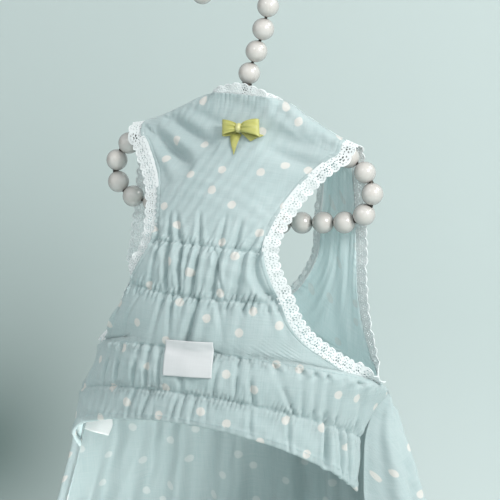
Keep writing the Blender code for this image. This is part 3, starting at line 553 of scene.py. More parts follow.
def row_gathers(run, down, stop, seed):
    """Small slanting pleats along one elastic row, and the groove that it pulls."""
    away = down[:, None] - stop
    phase = run + PUCKER_SLANT * away
    pleat = uneven_wave(phase, PUCKER_PITCH, seed)
    reach = PUCKER_REACH * (1.0 + 0.35 * uneven_wave(run, PUCKER_PITCH * 5.0, seed + 50))
    near = np.exp(-(away / reach) ** 2)
    pinch = 0.45 + 0.55 * (1.0 - np.exp(-(away / ROW_GROOVE) ** 2))
    groove = ROW_SINK * np.exp(-(away / ROW_GROOVE) ** 2)
    return PUCKER_DEPTH * pleat * near * pinch * 1.6 - groove


def run_at(x, line_x, line_run):
    """Place along a line that has the given x, on the stretch between its two sides."""
    first, last = int(line_x.argmin()), int(line_x.argmax())
    return np.interp(x, line_x[first:last + 1], line_run[first:last + 1])


def crease_valleys(base, shares, run, down, bands):
    """The long creases between the rows, from the table."""
    depth = np.zeros_like(run)
    for band, top, bottom, top_depth, bottom_depth, width, bow in CREASES:
        start, end = bands[band]
        t = (down - start) / (end - start)
        inside = np.flatnonzero((t > -0.02) & (t < 1.02))
        from_x = np.interp(top, shares, base[inside[0], :, 0])
        to_x = np.interp(bottom, shares, base[inside[-1], :, 0])
        for line in inside:
            share = min(max(t[line], 0.0), 1.0)
            middle = from_x + (to_x - from_x) * share + bow * BODICE_HALF * sin(pi * share)
            at = run_at(middle, base[line, :, 0], run[line])
            opening = 0.75 + 0.5 * share if bottom_depth > top_depth else 1.25 - 0.5 * share
            wide = CREASE_WIDTH * width * opening
            size = top_depth * (1.0 - share) ** 0.8 + bottom_depth * share ** 0.8
            hold = 0.35 + 0.65 * min(sin(pi * share) ** 0.5 if 0 < share < 1 else 0.0, 1.0)
            off = (run[line] - at) / wide
            valley = np.exp(-off ** 2) - 0.28 * np.exp(-((np.abs(off) - 2.1) / 1.0) ** 2)
            depth[line] += CREASE_DEPTH * size * hold * valley
    return depth


def loose_creases(base, run, down, bands, count, seed):
    """Short faint creases that start at a row and die out, spread over the bands."""
    draw = np.random.default_rng(seed)
    depth = np.zeros_like(run)
    for start, end in bands[1:]:
        length = end - start
        lines = np.flatnonzero((down > start - 0.0005) & (down < end + 0.0005))
        top_half = float(np.ptp(base[lines[0], :, 0])) / 2.0
        for k in range(count):
            from_top = draw.uniform() < 0.5
            at_share = draw.uniform(-0.97, 0.97)
            reach = length * draw.uniform(0.25, 0.7)
            lean = draw.uniform(-0.25, 0.10)
            wide = CREASE_WIDTH * draw.uniform(0.45, 0.8)
            size = CREASE_DEPTH * draw.uniform(0.12, 0.32)
            for line in lines:
                away = down[line] - start if from_top else end - down[line]
                if away > reach:
                    continue
                x = at_share * top_half + lean * (down[line] - start)
                middle = run_at(x, base[line, :, 0], run[line])
                fade = (1.0 - away / reach) ** 0.8 * min(1.0, 0.3 + away / 0.002)
                depth[line] += size * fade * np.exp(-((run[line] - middle) / wide) ** 2)
    return depth


def yoke_folds(grid):
    """How far the soft folds of the yoke push the cloth in."""
    x = grid[:, :, 0]
    z = grid[:, :, 2]
    depth = np.zeros_like(x)
    for side, x0, z0, x1, z1, fold, width in YOKE_FOLDS:
        start = np.array([side * x0 * SHOULDER_HALF, z0 * CHEST_LENGTH])
        way = np.array([side * (x1 - x0) * SHOULDER_HALF, (z1 - z0) * CHEST_LENGTH])
        along = ((x - start[0]) * way[0] + (z - start[1]) * way[1]) / way.dot(way)
        near = np.clip(along, 0.0, 1.0)
        across = (x - start[0]) * -way[1] + (z - start[1]) * way[0]
        away = np.hypot(x - start[0] - near * way[0], z - start[1] - near * way[1])
        lean = np.where(across * side > 0, 1.35, 0.75)
        fade = np.sin(pi * np.clip(0.12 + 0.88 * near, 0.0, 1.0)) ** 0.8
        depth += fold * CHEST_DEPTH * fade * np.exp(-(away / (width * lean * SHOULDER_HALF)) ** 2)
    return depth


def chest_surface():
    """The finished chest panel with its gathers, creases and hem, and its smooth base."""
    shares, down, base, rows_at = chest_base(CHEST_COLUMNS)
    run = runs_of(base)
    normal = grid_normals(base)
    stops = [rows_at[name] for name in ROW_NAMES] + [down[-1]]
    bands = [(stops[0] - FREE_GATHER, stops[0])] + list(zip(stops[:-1], stops[1:]))
    offset = np.zeros(run.shape)
    for k, (start, end) in enumerate(bands[1:]):
        share = np.clip((down - start) / (end - start), 0.0, 1.0)
        puff = np.sin(pi * share) * (0.35 if k == len(bands) - 2 else 1.0)
        swell = 0.80 + 0.20 * uneven_wave(run, 0.030, 300 + k)
        offset += PUFF_DEPTH * puff[:, None] * swell
    # the cloth stays smooth where it fans out fast from line to line
    drift = np.abs(np.gradient(run, axis=0))
    calm = 1.0 - smooth_step(drift, CALM_FROM, CALM_TO)
    for k, stop in enumerate(stops[:-1]):
        offset += row_gathers(run, down, stop, 11 + k) * (0.15 + 0.85 * calm)
    offset -= crease_valleys(base, shares, run, down, bands) * (0.25 + 0.75 * calm)
    offset -= loose_creases(base, run, down, bands, 26, 77) * calm
    above = 1.0 - smooth_step(down, stops[0] - FREE_GATHER, stops[0])
    offset -= yoke_folds(base) * above[:, None]
    # the gathered neckline
    near_neck = 1.0 - smooth_step(np.abs(base[:, :, 0]), NECK_HALF * 0.75, NECK_HALF * 1.05)
    neck_pleat = uneven_wave(run, NECK_PITCH, 5)
    offset += NECK_PLEAT * neck_pleat * near_neck * np.exp(-down / NECK_REACH)[:, None]
    # the two armhole edges, puckered where the lace is sewn on
    side = side_distance(run)
    armhole = 1.0 - smooth_step(down, rows_at["puff_3"] - 0.006, rows_at["puff_3"])
    edge_run = np.where(shares[None, :] > 0, grid_chart(base)[:, -1:, 1], grid_chart(base)[:, :1, 1])
    pleat = uneven_wave(edge_run + 0.25 * side, EDGE_PITCH, 21)
    offset += EDGE_PLEAT * pleat * np.exp(-(side / EDGE_REACH) ** 1.3) * armhole[:, None]
    offset -= EDGE_GROOVE * np.exp(-((side - EDGE_SEAM) / EDGE_SEAM_W) ** 2) * armhole[:, None]
    for height, along, below, pitch, seed in WASHED_WAVES:
        offset += height * uneven_wave(along * run + below * down[:, None], pitch, seed) * calm
    # the turned-up hem stands a little proud and ends in a roll
    from_hem = down[-1] - down
    offset += HEM_PROUD * (1.0 - smooth_step(from_hem, HEM_DEPTH * 0.8, HEM_DEPTH * 1.2))[:, None]
    hem_pleat = uneven_wave(run, HEM_PITCH, 41)
    offset += HEM_PLEAT * hem_pleat * (1.0 - smooth_step(from_hem, 0.0, 0.006))[:, None]
    grid = base + normal * offset[:, :, None]
    return rolled_under(grid, -grid_normals(grid)), base, down, rows_at


def rolled_under(grid, inward):
    """Turns the last line of a grid in and back up, as a rolled hem."""
    last = grid[-1]
    ahead = grid[-1] - grid[-3]
    ahead /= np.maximum(np.linalg.norm(ahead, axis=1, keepdims=True), 1e-9)
    inner = inward[-1]
    lines = []
    for turn in (50.0, 100.0, 150.0):
        out = HEM_ROLL * sin(radians(turn))
        lines.append(last + ahead * out + inner * HEM_ROLL * (1.0 - cos(radians(turn))))
    for up in (0.4, 1.0):
        lines.append(last - ahead * HEM_DEPTH * up + inner * HEM_ROLL * 2.0)
    return np.concatenate([grid, np.array(lines)])


def waist_height(x):
    share = np.clip(np.abs(x) / BODICE_HALF, 0.0, 1.0)
    return -WAIST_DROP - (UNDERARM_DROP - WAIST_DROP) * share ** 2


def back_depth(x, z):
    """Depth of the back behind the hanger's plane."""
    half_width, edge, middle, angle = table_values(BACK_SECTIONS, z / UNDERARM_DROP)
    turn = np.radians(angle)
    bent = np.arcsin(np.clip(np.abs(x) / (half_width * BODICE_HALF) * np.sin(turn), -1.0, 1.0))
    fall = (np.cos(bent) - np.cos(turn)) / (1.0 - np.cos(turn))
    return BACK_DEPTH * (edge + (middle - edge) * fall)


def back_points(x, z):
    """Points of the back, bent over the hanger's beads near the shoulder line."""
    below = np.maximum(shoulder_line(x) - z, 0.0)
    over = np.sqrt(np.maximum(ARCH_RADIUS ** 2 - np.maximum(ARCH_RADIUS - below, 0.0) ** 2, 0.0))
    depth = np.maximum(over, back_depth(x, z) * smooth_step(below, 0.0, ARCH_RADIUS * 2.2))
    return np.stack([x, depth, z], axis=-1)


def back_side_lines(across):
    """Lines of one side of the back, from the shoulder seam to the middle."""
    lines = []
    seam_turn = 8.0 + np.degrees(SEAM_GAP / ARCH_RADIUS)
    x = NECK_HALF * 1.05 + (SHOULDER_HALF - NECK_HALF * 1.05) * across
    for turn in (seam_turn, 25.0, 42.0, 64.0, 85.0):
        z = shoulder_line(x) - ARCH_RADIUS * (1.0 - cos(radians(turn)))
        lines.append(np.stack([x, np.full_like(x, ARCH_RADIUS * sin(radians(turn))), z], axis=-1))
    ends = [(x0 * SCOOP_HALF, z0 * SCOOP_DROP, x1 * BODICE_HALF, z1 * UNDERARM_DROP)
            for name, x0, z0, x1, z1 in BACK_LINES]
    x_in, z_in, x_out = ends[-1][:3]
    for step in range(1, WAIST_STEPS + 1):
        turn = pi / 2 * step / WAIST_STEPS
        low = -SCOOP_DROP + (z_in + SCOOP_DROP) * (1.0 - sin(turn))
        ends.append((x_in * cos(turn), low, x_out * cos(turn), float(waist_height(x_out * cos(turn)))))
    ends = np.array(ends)
    keys = line_lengths(ends[:, 2:])
    underarm = keys[len(BACK_LINES) - 1]
    fine = np.linspace(0.0, keys[-1], int(keys[-1] / BACK_STEP) + 2)
    fine[np.argmin(np.abs(fine - underarm))] = underarm
    for x0, z0, x1, z1 in blend_rows(ends, keys, fine):
        lines.append(back_points(x0 + (x1 - x0) * across, z0 + (z1 - z0) * across))
    return np.array(lines), 5 + int(np.argmin(np.abs(fine - underarm)))


def mirrored(grid):
    return grid * np.array([-1.0, 1.0, 1.0])


def back_base():
    """The smooth back in one grid from shoulder to shoulder, and each underarm's line."""
    across = np.linspace(0.0, 1.0, BACK_COLUMNS)
    right, underarm = back_side_lines(across)
    grid = np.concatenate([right, mirrored(right[:-1][::-1])])
    share = np.clip((-grid[..., 2] - ARCH_RADIUS) / (WAIST_DROP - ARCH_RADIUS), 0.0, 1.0)
    grid[..., 0] += BACK_LEAN * np.sin(pi * share)
    return grid, underarm, len(grid) - 1 - underarm


def back_surface(base):
    """The back with soft upright folds in its straps and puckers along its edges."""
    normal = grid_normals(base)
    across = line_lengths(base[len(base) // 4])
    chart = grid_chart(base)
    width = chart[:, :, 0] - chart[:, :1, 0]
    from_in = width
    from_out = width[:, -1:] - width
    along = -chart[:, BACK_COLUMNS // 2, 1][:, None]
    share = np.linspace(0.0, 1.0, BACK_COLUMNS)[None, :]
    sway = 0.9 * np.sin(along / 0.030) + 0.5 * np.sin(along / 0.013 + 1.0)
    offset = 0.0004 * np.cos(2.0 * pi * share * 3.0 + sway) * (1.0 - np.abs(2.0 * share - 1.0) ** 3)
    offset = offset + 0.0003 * uneven_wave(across[None, :] + 0.2 * along, 0.0080, 61)
    edges = np.exp(-(from_in / 0.003) ** 1.3) + np.exp(-(from_out / 0.003) ** 1.3)
    offset = offset + 0.00035 * uneven_wave(along, EDGE_PITCH, 63) * edges
    lowest = smooth_step(-base[..., 2], UNDERARM_DROP * 0.90, UNDERARM_DROP * 0.97)
    waist = np.exp(-(from_out / 0.006) ** 1.5) * lowest
    offset = offset + 0.0006 * uneven_wave(along, 0.0032, 65) * waist
    seated = smooth_step(-base[..., 2], 0.010, 0.028)
    return base + normal * (offset * (0.25 + 0.75 * seated))[:, :, None]


def side_seam(chest, sewn, side, z):
    """Where the chest panel's side edge is at a height."""
    edge = chest[sewn:, -1 if side > 0 else 0]
    return np.interp(-z, -edge[:, 2], edge[:, 0]), np.interp(-z, -edge[:, 2], edge[:, 1])


def skirt_base(chest, sewn):
    """The smooth skirt from one front edge round the back to the other, top to hem."""
    shares = np.linspace(-1.0, 1.0, SKIRT_COLUMNS)
    tight = np.arange(0.0, 0.014, 0.0010)
    downs = np.concatenate([tight, np.linspace(0.0155, SKIRT_DROP - WAIST_DROP, SKIRT_LINES)])
    downs = downs / downs[-1]
    sections = np.array(SKIRT_SECTIONS)
    fine_heights = np.linspace(sections[-1, 0], sections[0, 0], 120)[::-1]
    smooth = np.column_stack([fine_heights, blend_rows(sections[:, 1:], -sections[:, 0], -fine_heights)])
    hem_z = float(chest[-1, 0, 2])
    grid = np.zeros((len(downs), len(shares), 3))
    side = np.where(shares > 0, 1.0, -1.0)
    near = smooth_step(np.abs(shares), 0.2, 0.95)
    flank = smooth_step(shares, 0.15, 0.7) * (1.0 - 0.8 * smooth_step(shares, 0.85, 1.0))
    top_x = BODICE_HALF * BACK_LINES[-1][3] * np.sin(shares * pi / 2)
    top_z = waist_height(top_x)
    behind = SIDE_GAP * smooth_step(np.abs(shares), 0.8, 1.0)
    sewn_top = np.stack([top_x, back_depth(top_x, top_z) + behind, top_z - SEAM_GAP], axis=1)
    for line, down in enumerate(downs):
        z = sewn_top[:, 2] + down * (-SKIRT_DROP - sewn_top[:, 2])
        half, edge, middle, angle = table_values(smooth, z / SKIRT_DROP)
        x, y = bend(shares, half * BODICE_HALF, edge * BACK_DEPTH, middle * BACK_DEPTH, angle)
        sewn_z = np.maximum(z, hem_z)
        plain = table_values(smooth, sewn_z / SKIRT_DROP)
        for k, way in enumerate((-1.0, 1.0)):
            seam_x, seam_y = side_seam(chest, sewn, way, sewn_z)
            on = side == way
            x = np.where(on, x + near * (seam_x - way * plain[0] * BODICE_HALF), x)
            y = np.where(on, y + near * (seam_y + SIDE_GAP - plain[1] * BACK_DEPTH), y)
        x = x + SKIRT_FLARE * flank * smooth_step(-z, WAIST_DROP, SKIRT_DROP * 0.80)
        ease = np.minimum(down / (WAIST_EASE * (1.0 - 0.9 * shares ** 6)), 1.0)
        ease = ease * ease * (3.0 - 2.0 * ease) * 0.5 + ease * 0.5
        loose = np.stack([x, y, z], axis=1)
        grid[line] = sewn_top * (1.0 - ease[:, None]) + loose * ease[:, None]
        grid[line, :, 2] = z
    return shares, downs, grid


def skirt_surface(chest, sewn):
    """The skirt with gathers at its waist that open into flutes."""
    shares, downs, base = skirt_base(chest, sewn)
    run = runs_of(base)
    edge_fade = 1.0 - np.abs(shares)[None, :] ** 8
    down = downs[:, None] * (SKIRT_DROP - WAIST_DROP)
    turn = pi * FLUTE_COUNT * (shares[None, :] + 1.0) + 0.8 * np.sin(3.0 * shares[None, :])
    offset = -FLUTE_DEPTH * downs[:, None] ** 0.7 * np.cos(turn) * edge_fade
    gathers = uneven_wave(run[[0]] * np.ones_like(down), SKIRT_GATHER_PITCH, 91)
    offset = offset + SKIRT_GATHER * gathers * np.exp(-(down / 0.011) ** 1.1) * edge_fade
    middle = run[[len(run) // 2]] * (1.0 + 0.0 * down)
    folds = uneven_wave(middle + 0.05 * down, SKIRT_FOLD_PITCH, 93)
    offset = offset + SKIRT_FOLD * folds * smooth_step(down, 0.006, 0.040) * edge_fade
    offset = offset + 0.00025 * uneven_wave(run + 0.5 * down, 0.0085, 95) * edge_fade
    from_hem = (1.0 - downs[:, None]) * (SKIRT_DROP - WAIST_DROP)
    offset = offset + 0.0003 * (1.0 - smooth_step(from_hem, 0.0060, 0.0072))
    grid = base - grid_normals(base) * offset[:, :, None]
    return rolled_under(grid, -grid_normals(grid)), base


def smoothed(values, turns, closed):
    """Neighbouring rows of numbers averaged a few times over."""
    for turn in range(turns):
        before = np.roll(values, 1, axis=0)
        after = np.roll(values, -1, axis=0)
        if not closed:
            before[0] = values[0]
            after[-1] = values[-1]
        values = (before + 2.0 * values + after) / 4.0
    return values


def edge_frame(grid, column):
    """Outward directions and normals along a grid's side edge."""
    normal = grid_normals(grid)[:, column]
    edge = grid[:, column]
    tangent = np.gradient(edge, axis=0)
    outward = np.cross(tangent, normal)
    outward /= np.maximum(np.linalg.norm(outward, axis=1, keepdims=True), 1e-9)
    inner = grid[:, -2 if column == -1 else 1]
    flip = np.sign(np.sum(outward * (edge - inner), axis=1))
    return edge, outward * flip[:, None], normal


def even_path(edge, outward, normals, widths):
    """A closed path of even steps with its two directions and its width smoothed."""
    stack = np.hstack([edge, outward, normals, widths[:, None]])
    whole = np.vstack([stack, stack[:1]])
    along = line_lengths(whole[:, :3])
    count = int(along[-1] / 0.001)
    at = np.linspace(0.0, along[-1], count, endpoint=False)
    even = np.stack([np.interp(at, along, whole[:, k]) for k in range(10)], axis=1)
    even[:, 3:] = smoothed(even[:, 3:], 10, True)
    even[:, :3] = smoothed(even[:, :3], 2, True)
    return even, along[-1]


def armhole_path(chest, sewn, back, underarm, tucked=False):
    """The path of one armhole's lace, from the shoulder tip down and up again behind."""
    front_edge, front_out, front_normal = edge_frame(chest, -1)
    back_edge, back_out, back_normal = edge_frame(back, -1)
    # under the arm the edge turns back, and the lace stands up from it
    turned = (front_edge[:, 2] < -0.5 * CHEST_LENGTH) & (front_out[:, 2] < 0.0)
    front_out[turned] *= -1.0
    front = slice(0, sewn)
    behind = slice(underarm - 1, None, -1)
    edge = np.vstack([front_edge[front], back_edge[behind]])
    outward = np.vstack([front_out[front], back_out[behind]])
    normals = np.vstack([front_normal[front], back_normal[behind]])
    if tucked:
        # below the second row this lace lies in behind the chest cloth
        share = smooth_step(-edge[:, 2], 0.55 * CHEST_LENGTH, 0.62 * CHEST_LENGTH)[:, None]
        back_in = np.where(edge[:, 1] < 0.0, 0.85, -0.20)
        inward = np.stack([0.0 * back_in - 0.60, back_in, 0.0 * back_in + 0.10], axis=1)
        outward = outward * (1.0 - share) + inward * share
    return even_path(edge, outward, normals, np.full(len(edge), LACE_W))


def neck_path(chest, back):
    """The path of the neckline's lace: across the front and down round the scoop."""
    inside = np.abs(chest[0, :, 0]) < NECK_HALF * 1.02
    front = chest[0][inside]
    aside = np.clip(np.abs(front[:, 0]) / NECK_HALF, 0.0, 1.0)
    lean = smooth_step(aside, 0.45, 1.0)
    up = np.stack([0.0 * lean, 0.90 * lean - 0.10, 1.0 - 0.45 * lean], axis=1)
    facing = np.stack([0.0 * lean, -up[:, 2], up[:, 1]], axis=1)
    inner, outward, normal = edge_frame(back, 0)
    edge = np.vstack([front, inner[1:-1]])
    outward = np.vstack([up, outward[1:-1]])
    ahead = np.vstack([facing, -normal[1:-1]])
    standing = NECK_LACE_END_W + (NECK_LACE_W - NECK_LACE_END_W) * (1.0 - aside ** 1.2)
    widths = np.concatenate([standing, np.full(len(inner) - 2, SCOOP_LACE_W)])
    return even_path(edge, outward, ahead, widths)


# Geometry Nodes trees

def add_input(tree, name, kind, value=None):
    socket = tree.interface.new_socket(name=name, in_out="INPUT", socket_type="NodeSocket" + kind)
    if value is not None:
        socket.default_value = value
    return socket


def add_node(tree, kind, sources=(), **settings):
    """A node with its settings, and its inputs set to a value or linked from a socket."""
    node = tree.nodes.new(kind)
    for name, value in settings.items():
        setattr(node, name, value)
    for key, source in dict(sources).items():
        if isinstance(source, bpy.types.NodeSocket):
            tree.links.new(source, node.inputs[key])
        else:
            node.inputs[key].default_value = source
    return node


def repeat_tree():
    """Repeats a flat motif in a row at an even pitch and welds the joins."""
    tree = bpy.data.node_groups.new("lace_repeat", "GeometryNodeTree")
    add_input(tree, "Motif", "Geometry")
    add_input(tree, "Count", "Int", 10)
    add_input(tree, "Pitch", "Float", 0.005)
    add_input(tree, "Finish", "Material")
    tree.interface.new_socket(name="Strip", in_out="OUTPUT", socket_type="NodeSocketGeometry")
    given = add_node(tree, "NodeGroupInput")
    step = add_node(tree, "ShaderNodeCombineXYZ", {"X": given.outputs["Pitch"]})
    row = add_node(tree, "GeometryNodeMeshLine",
                   {"Count": given.outputs["Count"], "Offset": step.outputs[0]})
    placed = add_node(tree, "GeometryNodeInstanceOnPoints",
                      {"Points": row.outputs[0], "Instance": given.outputs["Motif"]})
    real = add_node(tree, "GeometryNodeRealizeInstances", {0: placed.outputs[0]})
    welded = add_node(tree, "GeometryNodeMergeByDistance", {"Geometry": real.outputs[0], "Distance": 1e-6})
    finished = add_node(tree, "GeometryNodeSetMaterial",
                        {"Geometry": welded.outputs[0], "Material": given.outputs["Finish"]})
    result = add_node(tree, "NodeGroupOutput")
    tree.links.new(finished.outputs[0], result.inputs[0])
    return tree


def place_tree():
    """Sets a small part on each point, its long axis along one attribute, its top along another."""
    tree = bpy.data.node_groups.new("place_on_points", "GeometryNodeTree")
    add_input(tree, "Points", "Geometry")
    add_input(tree, "Part", "Object")
    add_input(tree, "Size", "Float", 1.0)
    add_input(tree, "Turn Seed", "Int", 0)
    add_input(tree, "Uneven", "Float", 0.0)
    add_input(tree, "Finish", "Material")
    tree.interface.new_socket(name="Parts", in_out="OUTPUT", socket_type="NodeSocketGeometry")
    given = add_node(tree, "NodeGroupInput")
    part = add_node(tree, "GeometryNodeObjectInfo", {"Object": given.outputs["Part"]})
    ahead = add_node(tree, "GeometryNodeInputNamedAttribute", {"Name": "ahead"}, data_type="FLOAT_VECTOR")
    out = add_node(tree, "GeometryNodeInputNamedAttribute", {"Name": "out"}, data_type="FLOAT_VECTOR")
    along = add_node(tree, "FunctionNodeAlignRotationToVector", {"Vector": ahead.outputs[0]}, axis="Z")
    turned = add_node(tree, "FunctionNodeAlignRotationToVector",
                      {"Rotation": along.outputs[0], "Vector": out.outputs[0]}, axis="X", pivot_axis="Z")
    low = add_node(tree, "ShaderNodeMath", {0: 1.0, 1: given.outputs["Uneven"]}, operation="SUBTRACT")
    high = add_node(tree, "ShaderNodeMath", {0: 1.0, 1: given.outputs["Uneven"]}, operation="ADD")
    varied = add_node(tree, "FunctionNodeRandomValue", {"Seed": given.outputs["Turn Seed"]},
                      data_type="FLOAT")
    tree.links.new(low.outputs[0], varied.inputs[2])
    tree.links.new(high.outputs[0], varied.inputs[3])
    size = add_node(tree, "ShaderNodeMath", {0: varied.outputs[1], 1: given.outputs["Size"]},
                    operation="MULTIPLY")
    placed = add_node(tree, "GeometryNodeInstanceOnPoints",
                      {"Points": given.outputs["Points"], "Instance": part.outputs["Geometry"],
                       "Rotation": turned.outputs[0], "Scale": size.outputs[0]})
    real = add_node(tree, "GeometryNodeRealizeInstances", {0: placed.outputs[0]})
    finished = add_node(tree, "GeometryNodeSetMaterial",
                        {"Geometry": real.outputs[0], "Material": given.outputs["Finish"]})
    result = add_node(tree, "NodeGroupOutput")
    tree.links.new(finished.outputs[0], result.inputs[0])
    return tree


def shown_mesh(item):
    """A plain mesh of an object with its modifiers applied."""
    bpy.context.view_layer.update()
    evaluated = item.evaluated_get(bpy.context.evaluated_depsgraph_get())
    return bpy.data.meshes.new_from_object(evaluated)


def taken_mesh(item):
    """The same mesh, with the object itself removed."""
    mesh = shown_mesh(item)
    bpy.data.objects.remove(item, do_unlink=True)
    return mesh


def grown(source, tree, values):
    """The plain mesh that a Geometry Nodes tree makes of an object, which is removed."""
    maker = source.modifiers.new("maker", "NODES")
    maker.node_group = tree
    for socket in tree.interface.items_tree:
        if socket.in_out == "INPUT" and socket.name in values:
            maker[socket.identifier] = values[socket.name]
    return taken_mesh(source)


def linked(name, mesh):
    item = bpy.data.objects.new(name, mesh)
    bpy.context.scene.collection.objects.link(item)
    return item


def on_points(name, part, places, aheads, outs, finish, size=1.0, uneven=0.0, seed=1):
    """One mesh of a small part repeated on points."""
    cloud = bpy.data.meshes.new(name + "_points")
    cloud.from_pydata([tuple(place) for place in places], [], [])
    for label, values in (("ahead", aheads), ("out", outs)):
        attribute = cloud.attributes.new(label, "FLOAT_VECTOR", "POINT")
        attribute.data.foreach_set("vector", np.asarray(values, np.float32).ravel())
    mesh = grown(linked(name + "_points", cloud), TREES["place"],
                 {"Part": part, "Size": size, "Uneven": uneven, "Turn Seed": seed, "Finish": finish})
    item = linked(name, mesh)
    item.data.shade_smooth()
    return item


# Mesh helpers

def write_chart(mesh, layer, places):
    """Gives each corner of a mesh the flat cloth place of its point."""
    corners = np.zeros(len(mesh.loops), np.int32)
    mesh.loops.foreach_get("vertex_index", corners)
    layer.data.foreach_set("uv", places[corners].astype(np.float32).ravel())


def grid_piece(name, grid, chart, finish, wall, closed_across=False, reverse=None):
    """A sheet through a grid of points with its flat cloth chart and a thin wall.

    With reverse it has a second finish on its inner side.
    """
    lines, columns = grid.shape[:2]
    verts = (grid.reshape(-1, 3) + np.array(DRESS_AT)).tolist()
    number = np.arange(lines * columns).reshape(lines, columns)
    ahead = np.roll(number, -1, axis=1) if closed_across else number[:, 1:]
    here = number if closed_across else number[:, :-1]
    faces = np.stack([here[:-1], here[1:], ahead[1:], ahead[:-1]], axis=-1).reshape(-1, 4)
    mesh = bpy.data.meshes.new(name)
    mesh.from_pydata(verts, [], faces.tolist())
    write_chart(mesh, mesh.uv_layers.new(name="cloth"), chart.reshape(-1, 2))
    mesh.materials.append(finish)
    mesh.shade_smooth()
    item = linked(name, mesh)
    if reverse:
        mesh.materials.append(reverse)
    add_wall(item, wall)
    item.modifiers["wall"].material_offset = 1 if reverse else 0
    return item


def add_wall(item, thickness):
    wall = item.modifiers.new("wall", "SOLIDIFY")
    wall.thickness = thickness
    wall.offset = 0.0


def joined(name, items):
    """Several objects made one, their modifiers applied first."""
    work = bmesh.new()
    finishes = []
    for item in items:
        mesh = shown_mesh(item)
        before = len(work.faces)
        work.from_mesh(mesh)
        work.faces.ensure_lookup_table()
        base = len(finishes)
        finishes += list(mesh.materials)
        for face in work.faces[before:]:
            face.material_index += base
    mesh = bpy.data.meshes.new(name)
    work.to_mesh(mesh)
    work.free()
    for finish in finishes:
        mesh.materials.append(finish)
    for item in items:
        bpy.data.objects.remove(item, do_unlink=True)
    return linked(name, mesh)


# Lace

def lace_motif():
    """One repeat of the lace, flat: a scalloped edge and clusters of punched holes."""
    flat = bpy.data.curves.new("lace_motif", "CURVE")
    flat.dimensions = "2D"
    flat.fill_mode = "BOTH"
    crown = LACE_W * 0.86
    outline = [(0.0, 0.0), (LACE_PITCH * 0.5, 0.0), (LACE_PITCH, 0.0), (LACE_PITCH, LACE_W * 0.45)]
    for k in range(11):
        share = 1.0 - k / 10
        bulge = sin(pi * share) ** 0.7 if 0 < k < 10 else 0.0
        outline.append((share * LACE_PITCH, crown + (LACE_W - crown) * bulge))
    outline.append((0.0, LACE_W * 0.45))
    loops = [outline]
    for across, up, radius in LACE_HOLES:
        ring = [radians(45.0 * k + 22.5) for k in range(8)]
        loops.append([(across * LACE_PITCH + radius * cos(a), up * LACE_W + radius * sin(a)) for a in ring])
    for loop in loops:
        spline = flat.splines.new("POLY")
        spline.points.add(len(loop) - 1)
        for point, (x, y) in zip(spline.points, loop):
            point.co = (x, y, 0.0, 1.0)
        spline.use_cyclic_u = True
    return taken_mesh(linked("lace_motif", flat))


def lace_piece(name, path, length, finish, seed):
    """A strip of lace laid along a closed path, which holds its width, and ruffled a little."""
    count = int(round(length / LACE_PITCH))
    motif = linked(name + "_motif", lace_motif())
    mesh = grown(motif, TREES["repeat"], {"Count": count, "Pitch": LACE_PITCH, "Finish": finish})
    flat = np.zeros(len(mesh.vertices) * 3)
    mesh.vertices.foreach_get("co", flat)
    flat = flat.reshape(-1, 3)
    along = flat[:, 0] / (count * LACE_PITCH) * length
    whole = np.vstack([path, path[:1]])
    keys = np.linspace(0.0, length, len(whole))
    values = np.stack([np.interp(along, keys, whole[:, k]) for k in range(10)], axis=1)
    width = values[:, 9]
    up = flat[:, 1] / LACE_W * (width + LACE_TUCK) - LACE_TUCK
    away = values[:, 3:6] / np.linalg.norm(values[:, 3:6], axis=1, keepdims=True)
    normal = values[:, 6:9] / np.linalg.norm(values[:, 6:9], axis=1, keepdims=True)
    share = np.clip(up / width, 0.0, 1.0)[:, None]
    turns = round(length / 0.0085)
    ruffle = 0.00055 * np.sin(2.0 * pi * along / length * turns + seed)
    ruffle = ruffle + 0.0004 * uneven_wave(along, 0.019, seed)
    tuck = np.where(up < 0.0, 0.0007, 0.0004)
    lift = ruffle[:, None] * share ** 1.2 - tuck[:, None] * (1 - share)
    place = values[:, :3] + away * up[:, None] + normal * lift
    mesh.vertices.foreach_set("co", (place + np.array(DRESS_AT)).ravel())
    layer = mesh.uv_layers.new(name="cloth") if not mesh.uv_layers else mesh.uv_layers[0]
    write_chart(mesh, layer, flat[:, :2])
    work = bmesh.new()
    work.from_mesh(mesh)
    bmesh.ops.remove_doubles(work, verts=work.verts, dist=2e-5)
    work.to_mesh(mesh)
    work.free()
    mesh.update()
    item = linked(name, mesh)
    add_wall(item, LACE_T)
    return item


# Hanger

def wire_mesh(name, route, diameter, closed, finish):
    curve = bpy.data.curves.new(name, "CURVE")
    curve.dimensions = "3D"
    curve.bevel_depth = diameter / 2
    curve.bevel_resolution = 3
    curve.use_fill_caps = True
    spline = curve.splines.new("POLY")
    spline.points.add(len(route) - 1)
    for point, place in zip(spline.points, np.asarray(route) + np.array(DRESS_AT)):
        point.co = (*place, 1.0)
    spline.use_cyclic_u = closed
    mesh = taken_mesh(linked(name + "_curve", curve))
    mesh.materials.clear()
    mesh.materials.append(finish)
    mesh.shade_smooth()
    return linked(name, mesh)


